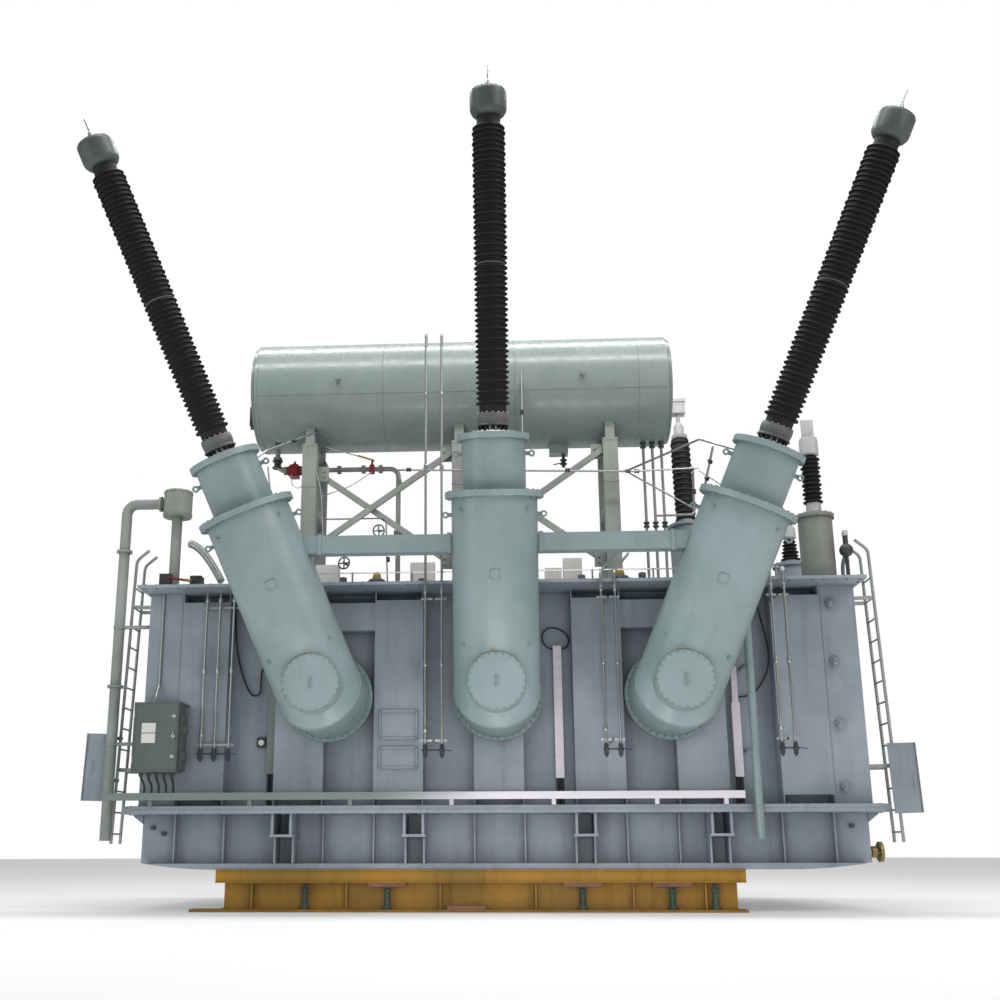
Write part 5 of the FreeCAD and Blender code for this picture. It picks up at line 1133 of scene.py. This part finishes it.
for x, foot, shoulder in trunk:
    lids.append(block((x - 0.06, trunk_front - 0.003, foot + 0.006),
                      (x + 0.06, trunk_front, shoulder - 0.006)))
    lids.append(copies(bolt(0.012),
                       [(x + dx, trunk_front - 0.003, z) for z in np.arange(foot + 0.1, shoulder, 0.35)
                        for dx in (-0.045, 0.045)], (0, -1, 0)))
    for dx in (-0.03, 0.03):
        feet.append(ribbed([(x + dx, -1.69, foot + 0.01), (x + dx, -1.69, wall_low.z)], 0.026, 0.004))
piece("trunking_lids", joined(*lids), MILL_ALUMINIUM)
piece("trunking_conduits", joined(*feet), BLACK_PVC)
piece("wall_sensor", block((-3.765, WALL_Y - 0.06, 2.44), (-3.635, WALL_Y, 2.59)), CAST_DARK)
piece("wall_sensor_dial", copies(disc(0.045, 0.06, 0.068, 24), [(-3.70, WALL_Y, 2.515)], (0, -1, 0)),
      WHITE_ENAMEL)

# ---------------------------------------------------------------- loose cables at the trunkings
# Three black PVC-sheathed control cables 25 mm thick, each from the cover or a trunking back into
# a trunking; they hang in the bights that the fitters left.
CABLE = 0.025
ROUTES = {
    "cable_left": [
        (-4.185, -1.715, 4.840), (-4.185, -1.715, 4.560), (-4.176, -1.712, 4.270), (-4.141, -1.708, 3.962),
        (-4.065, -1.706, 3.652), (-3.964, -1.703, 3.376), (-3.879, -1.700, 3.251), (-3.800, -1.697, 3.241),
        (-3.741, -1.695, 3.294), (-3.744, -1.693, 3.425), (-3.741, -1.691, 3.552), (-3.741, -1.690, 3.644),
        (-3.689, -1.690, 3.696), (-3.616, -1.690, 3.696), (-3.565, -1.690, 3.644), (-3.565, -1.690, 3.570)],
    "cable_right": [
        (4.060, -1.740, 4.840), (4.060, -1.740, 4.600), (4.105, -1.765, 4.350), (4.150, -1.805, 4.080),
        (4.172, -1.845, 3.810), (4.140, -1.860, 3.560), (4.040, -1.820, 3.350), (3.885, -1.690, 3.165),
        (3.685, -1.690, 3.165)],
    "cable_centre": [
        (0.995, -1.690, 3.945), (1.041, -1.690, 3.945), (1.083, -1.693, 3.968), (1.112, -1.698, 4.010),
        (1.120, -1.704, 4.070), (1.104, -1.710, 4.135), (1.062, -1.716, 4.190), (1.002, -1.722, 4.233),
        (0.930, -1.727, 4.262), (0.848, -1.731, 4.274), (0.774, -1.732, 4.252), (0.722, -1.731, 4.200),
        (0.700, -1.727, 4.130), (0.711, -1.719, 4.064), (0.738, -1.708, 4.008), (0.779, -1.697, 3.968),
        (0.819, -1.690, 3.945), (0.865, -1.690, 3.945)]}
for name, route in ROUTES.items():
    curve = bpy.data.curves.new(name + "_sheath", "CURVE")
    curve.dimensions = "3D"
    curve.bevel_depth = CABLE / 2
    curve.bevel_resolution = 4
    curve.use_fill_caps = True
    line = curve.splines.new("NURBS")
    line.points.add(len(route) - 1)
    line.points.foreach_set("co", np.column_stack([route, np.ones(len(route))]).ravel())
    line.order_u = 3
    line.use_endpoint_u = True
    line.resolution_u = 8
    curve.materials.append(BLACK_PVC)
    cable = bpy.data.objects.new(name + "_sheath", curve)
    scene.collection.objects.link(cable)
    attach(cable, "transformer")
    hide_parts(name)

# ---------------------------------------------------------------- low-voltage, neutral and tertiary bushings
# Smaller rubber-shedded bushings on flanged turrets over the right end of the tank, with cast
# aluminium heads and flat terminal pads, and a boxed terminal on the tallest.
TURRET_GREY = worn_paint("bushing_turret_grey", "#80857f", "#6f746e", 0.4, runs=0.3, dust=0.35, scraped=0.2,
                         under="#a3a69f", shade_in_corners="#42463f")
finish_nodes(TURRET_GREY, "neutral_turret")
CAST_ALUMINIUM = worn_paint("cast_aluminium", "#c2c4c2", "#a8abaa", 0.35, runs=0.15, dust=0.1, scraped=0.2,
                            under="#dadbd9", shade_in_corners="#6b6e6c")


def small_bushing(name, foot, axis, turret_top, shed_list, cap_list, count, root=0.68):
    """Sheds and head of a small bushing, both turned about its own axis."""
    base_radius, base, top_radius, top = shed_list
    large = np.linspace(base_radius, top_radius, count)
    pitch = (top - base) / count
    share = np.array([0.0, 0.0, 0.96, 1.0, 0.96, 0.12, 0.0])
    offset = np.array([0.0, 0.16, 0.06, 0.12, 0.24, 0.55, 0.68]) * pitch
    core = large[:, None] * root
    reach = large[:, None] * np.where(np.arange(count) % 2 == 0, 1.0, 0.9)[:, None]
    radius = core + (reach - core) * share
    height = base + np.arange(count)[:, None] * pitch + offset
    column = [(0, base - 0.02), (base_radius * 0.68, base - 0.02), *zip(radius.ravel(), height.ravel()),
              (top_radius * 0.6, top), (0, top)]
    sheds = piece(name + "_sheds", copies(turned(column, 40), [foot], axis), RUBBER)
    base_ring = [(0, turret_top), (base_radius * 0.86, turret_top), (base_radius * 0.86, turret_top + 0.03),
                 (base_radius * 0.78, turret_top + 0.04), (base_radius * 0.74, base - 0.01), (0, base - 0.01)]
    head = piece(name + "_head", copies(joined(turned(cap_list, 40), turned(base_ring, 40)), [foot], axis),
                 CAST_ALUMINIUM)
    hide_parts(name + "_bushing")
    return head


neutral = np.array([5.05, -1.8, COVER_TOP])
small_bushing("neutral", neutral, np.array([0, 0, 1.0]), 1.12, (0.155, 1.33, 0.155, 2.11),
              [(0, 2.11), (0.12, 2.11), (0.147, 2.13), (0.147, 2.36), (0.135, 2.41), (0.05, 2.43), (0, 2.43)],
              11)
piece("neutral_terminal", block(neutral + (-0.095, -0.015, 2.42), neutral + (0.095, 0.015, 2.73)),
      CAST_ALUMINIUM)
tertiary = np.array([5.095, 0.1, COVER_TOP])
small_bushing("tertiary", tertiary, np.array([0, 0, 1.0]), 0.78, (0.165, 0.86, 0.12, 1.24),
              [(0, 1.24), (0.1, 1.24), (0.12, 1.25), (0.118, 1.4), (0.1, 1.45), (0, 1.46)], 6)
piece("tertiary_terminal", block(tertiary + (-0.075, -0.015, 1.45), tertiary + (0.075, 0.015, 1.62)),
      CAST_ALUMINIUM)
LOW_LEAN = math.radians(8.0)
low_foot, low_axis = np.array([3.5, 0.9, COVER_TOP]), np.array([0, math.sin(LOW_LEAN), math.cos(LOW_LEAN)])
small_bushing("low_voltage", low_foot, low_axis, 1.78, (0.19, 1.93, 0.185, 3.60),
              [(0, 3.60), (0.14, 3.60), (0.15, 3.62), (0.15, 3.68), (0.1, 3.70), (0.095, 3.72), (0.095, 3.88),
               (0.06, 3.95), (0.038, 3.95), (0.038, 4.15), (0, 4.15)], 30, 0.9)
low_box, low_faces = joined(block((-0.135, -0.09, 4.15), (0.135, 0.09, 4.39)),
                            block((-0.15, -0.105, 4.39), (0.15, 0.105, 4.455)))
tilt = np.array([[1, 0, 0], [0, math.cos(LOW_LEAN), math.sin(LOW_LEAN)],
                 [0, -math.sin(LOW_LEAN), math.cos(LOW_LEAN)]])
piece("low_voltage_terminal", (low_box @ tilt.T + low_foot, low_faces), CAST_ALUMINIUM)
for name, foot, axis, radius, top in (("neutral", neutral, (0, 0, 1), 0.262, 1.12),
                                      ("tertiary", tertiary, (0, 0, 1), 0.28, 0.78),
                                      ("low_voltage", low_foot, low_axis, 0.32, 1.78)):
    axis = np.array(axis, float)
    paint, slot = (TURRET_GREY, "neutral_paint") if name == "neutral" else (TANK_GREY, "tank_paint")
    flange_bolts = [copies(bolt(0.032), circle(foot + axis * top, axis, radius + 0.014, 16), axis),
                    copies(bolt(0.032), circle(foot + axis * (top - 0.06), axis, radius + 0.014, 16), -axis)]
    if name != "low_voltage":
        flange_bolts.append(copies(bolt(0.032), circle(foot + axis * 0.03, axis, radius + 0.016, 16), axis))
    piece(name + "_turret_bolts", joined(*flange_bolts), paint)

# ---------------------------------------------------------------- oil gauge and drain valve
# Round-bodied oil gauge on a short column at the corner of the cover with its own elbow pipe, and
# a flanged brass drain valve low on the right end of the tank.
finish_nodes(CAST_DARK, "oil_gauge")
gauge_low, gauge_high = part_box("oil_gauge")
gauge_x, gauge_y = (gauge_low.x + gauge_high.x) / 2, (gauge_low.y + gauge_high.y) / 2
piece("gauge_cap", copies(turned([(0, 0), (0.045, 0), (0.045, 0.07), (0.03, 0.085), (0, 0.085)], 20),
                          [(gauge_x, gauge_y, gauge_high.z - 0.08)]), CAST_ALUMINIUM)
piece("gauge_elbow", joined(pipe(eased([(gauge_x - 0.02, gauge_y + 0.2, COVER_TOP),
                                        (gauge_x - 0.02, gauge_y + 0.2, 5.2),
                                        (gauge_x - 0.02, gauge_y + 0.02, 5.3)], 0.1), 0.03, 14)), TANK_GREY)
# cast brass: dull yellow with brown tarnish in patches of about 40 mm
BRASS = bare_metal("cast_brass", "#7d6c45", "#b3a06c", 0.3, 0.55, 0.9, 25.0, 4.0)
finish_nodes(BRASS, "drain_valve")
drain_low, drain_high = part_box("drain_valve")
drain_y, drain_z = (drain_low.y + drain_high.y) / 2, (drain_low.z + drain_high.z) / 2
drain_face = np.array([drain_high.x, drain_y, drain_z])
points, faces = joined(copies(turned([(0, 0), (0.1, 0), (0.1, 0.012), (0.06, 0.02), (0, 0.02)], 24),
                              [drain_face - (0.018, 0, 0)], (1, 0, 0)),
                       copies(bolt(0.026), circle(drain_face - (0.02, 0, 0), np.array([1.0, 0, 0]), 0.122, 8),
                              (1, 0, 0)), copies(bolt(0.026),
                                                 circle(drain_face - (0.05, 0, 0), np.array([1.0, 0, 0]),
                                                        0.122, 8), (-1, 0, 0)))
points[:, 0] = np.minimum(points[:, 0], drain_high.x)
piece("drain_valve_face", (points, faces), BRASS)

# ---------------------------------------------------------------- sampling valves
# Stainless sampling tubes down the front wall end in small dark steel ball valves, one of each set
# with a blue lever, held by rails near their feet and joined by unions under the cover.
BLUE_LEVER = worn_paint("blue_pvc_lever_sleeve", "#2c3f8c", "#243574", 0.4, runs=0.1, dust=0.2)
valve = joined(turned([(0, -0.16), (0.02, -0.16), (0.02, -0.13), (0.034, -0.128), (0.034, -0.09),
                       (0.03, -0.088), (0.042, -0.06), (0.042, -0.03), (0.03, -0.01), (0.034, -0.008),
                       (0.034, 0.03), (0.02, 0.032), (0.02, 0.05), (0, 0.05)], 12),
               block((0.03, -0.015, -0.06), (0.07, 0.015, -0.03)))
sets = (((-4.56, -4.35, -4.13), -2.07, -1.98), ((-1.08, -0.83), -2.54, -1.98), ((1.58, 1.79), -2.54, -1.98),
        ((4.12, 4.31), -2.54, -1.98))
bodies, levers, crossbars, rails, joints = [], [], [], [], []
PIPE_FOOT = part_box("sampling_pipes")[0].z
for xs, y, wall in sets:
    bodies.append(copies(valve, [(x, y, PIPE_FOOT) for x in xs]))
    levers.append(bar((xs[-1], y - 0.08, PIPE_FOOT - 0.045), (xs[-1] + 0.15, y - 0.085, PIPE_FOOT - 0.06),
                      0.016, 0.012))
    crossbars.append(block((xs[0] - 0.05, y - 0.062, PIPE_FOOT - 0.058),
                           (xs[-1] + 0.05, y - 0.045, PIPE_FOOT - 0.034)))
    joints += [(x, y, z) for x in xs for z in (4.72, 3.6)]
    joints.append((xs[0], y, 2.62))
    rail_back = y + 0.028
    rails.append(block((xs[0] - 0.07, rail_back, 2.44), (xs[-1] + 0.07, rail_back + 0.012, 2.475)))
    rails.append(block((xs[0] - 0.07, rail_back, 4.58), (xs[-1] + 0.07, rail_back + 0.012, 4.61)))
    for z in (2.457, 4.595):
        middle = (xs[0] + xs[-1]) / 2
        rails.append(block((middle - 0.015, rail_back, z - 0.015), (middle + 0.015, wall, z + 0.015)))
        for x in xs:
            rails.append(copies(sleeve(0.0185, 0.024, 0.014, 14), [(x, y, z)]))
piece("sampling_valves", joined(*bodies, *crossbars), CAST_DARK)
piece("sampling_levers", joined(*levers), BLUE_LEVER)
piece("sampling_rails", joined(*rails), ZINC)
tall_joints = [(x, -2.54, z) for x in (-1.08, -0.83) for z in (5.55, 6.7, 7.9)]
piece("sampling_unions", copies(union, joints + tall_joints), STAINLESS)
piece("white_sensor_ball",
      copies(turned([(0, 0), (0.018, 0.003), (0.03, 0.018), (0.035, 0.036), (0.03, 0.054), (0.018, 0.067),
                     (0, 0.072)], 20), [(4.31, -2.54, COVER_TOP + 0.06)]), WHITE_ENAMEL)
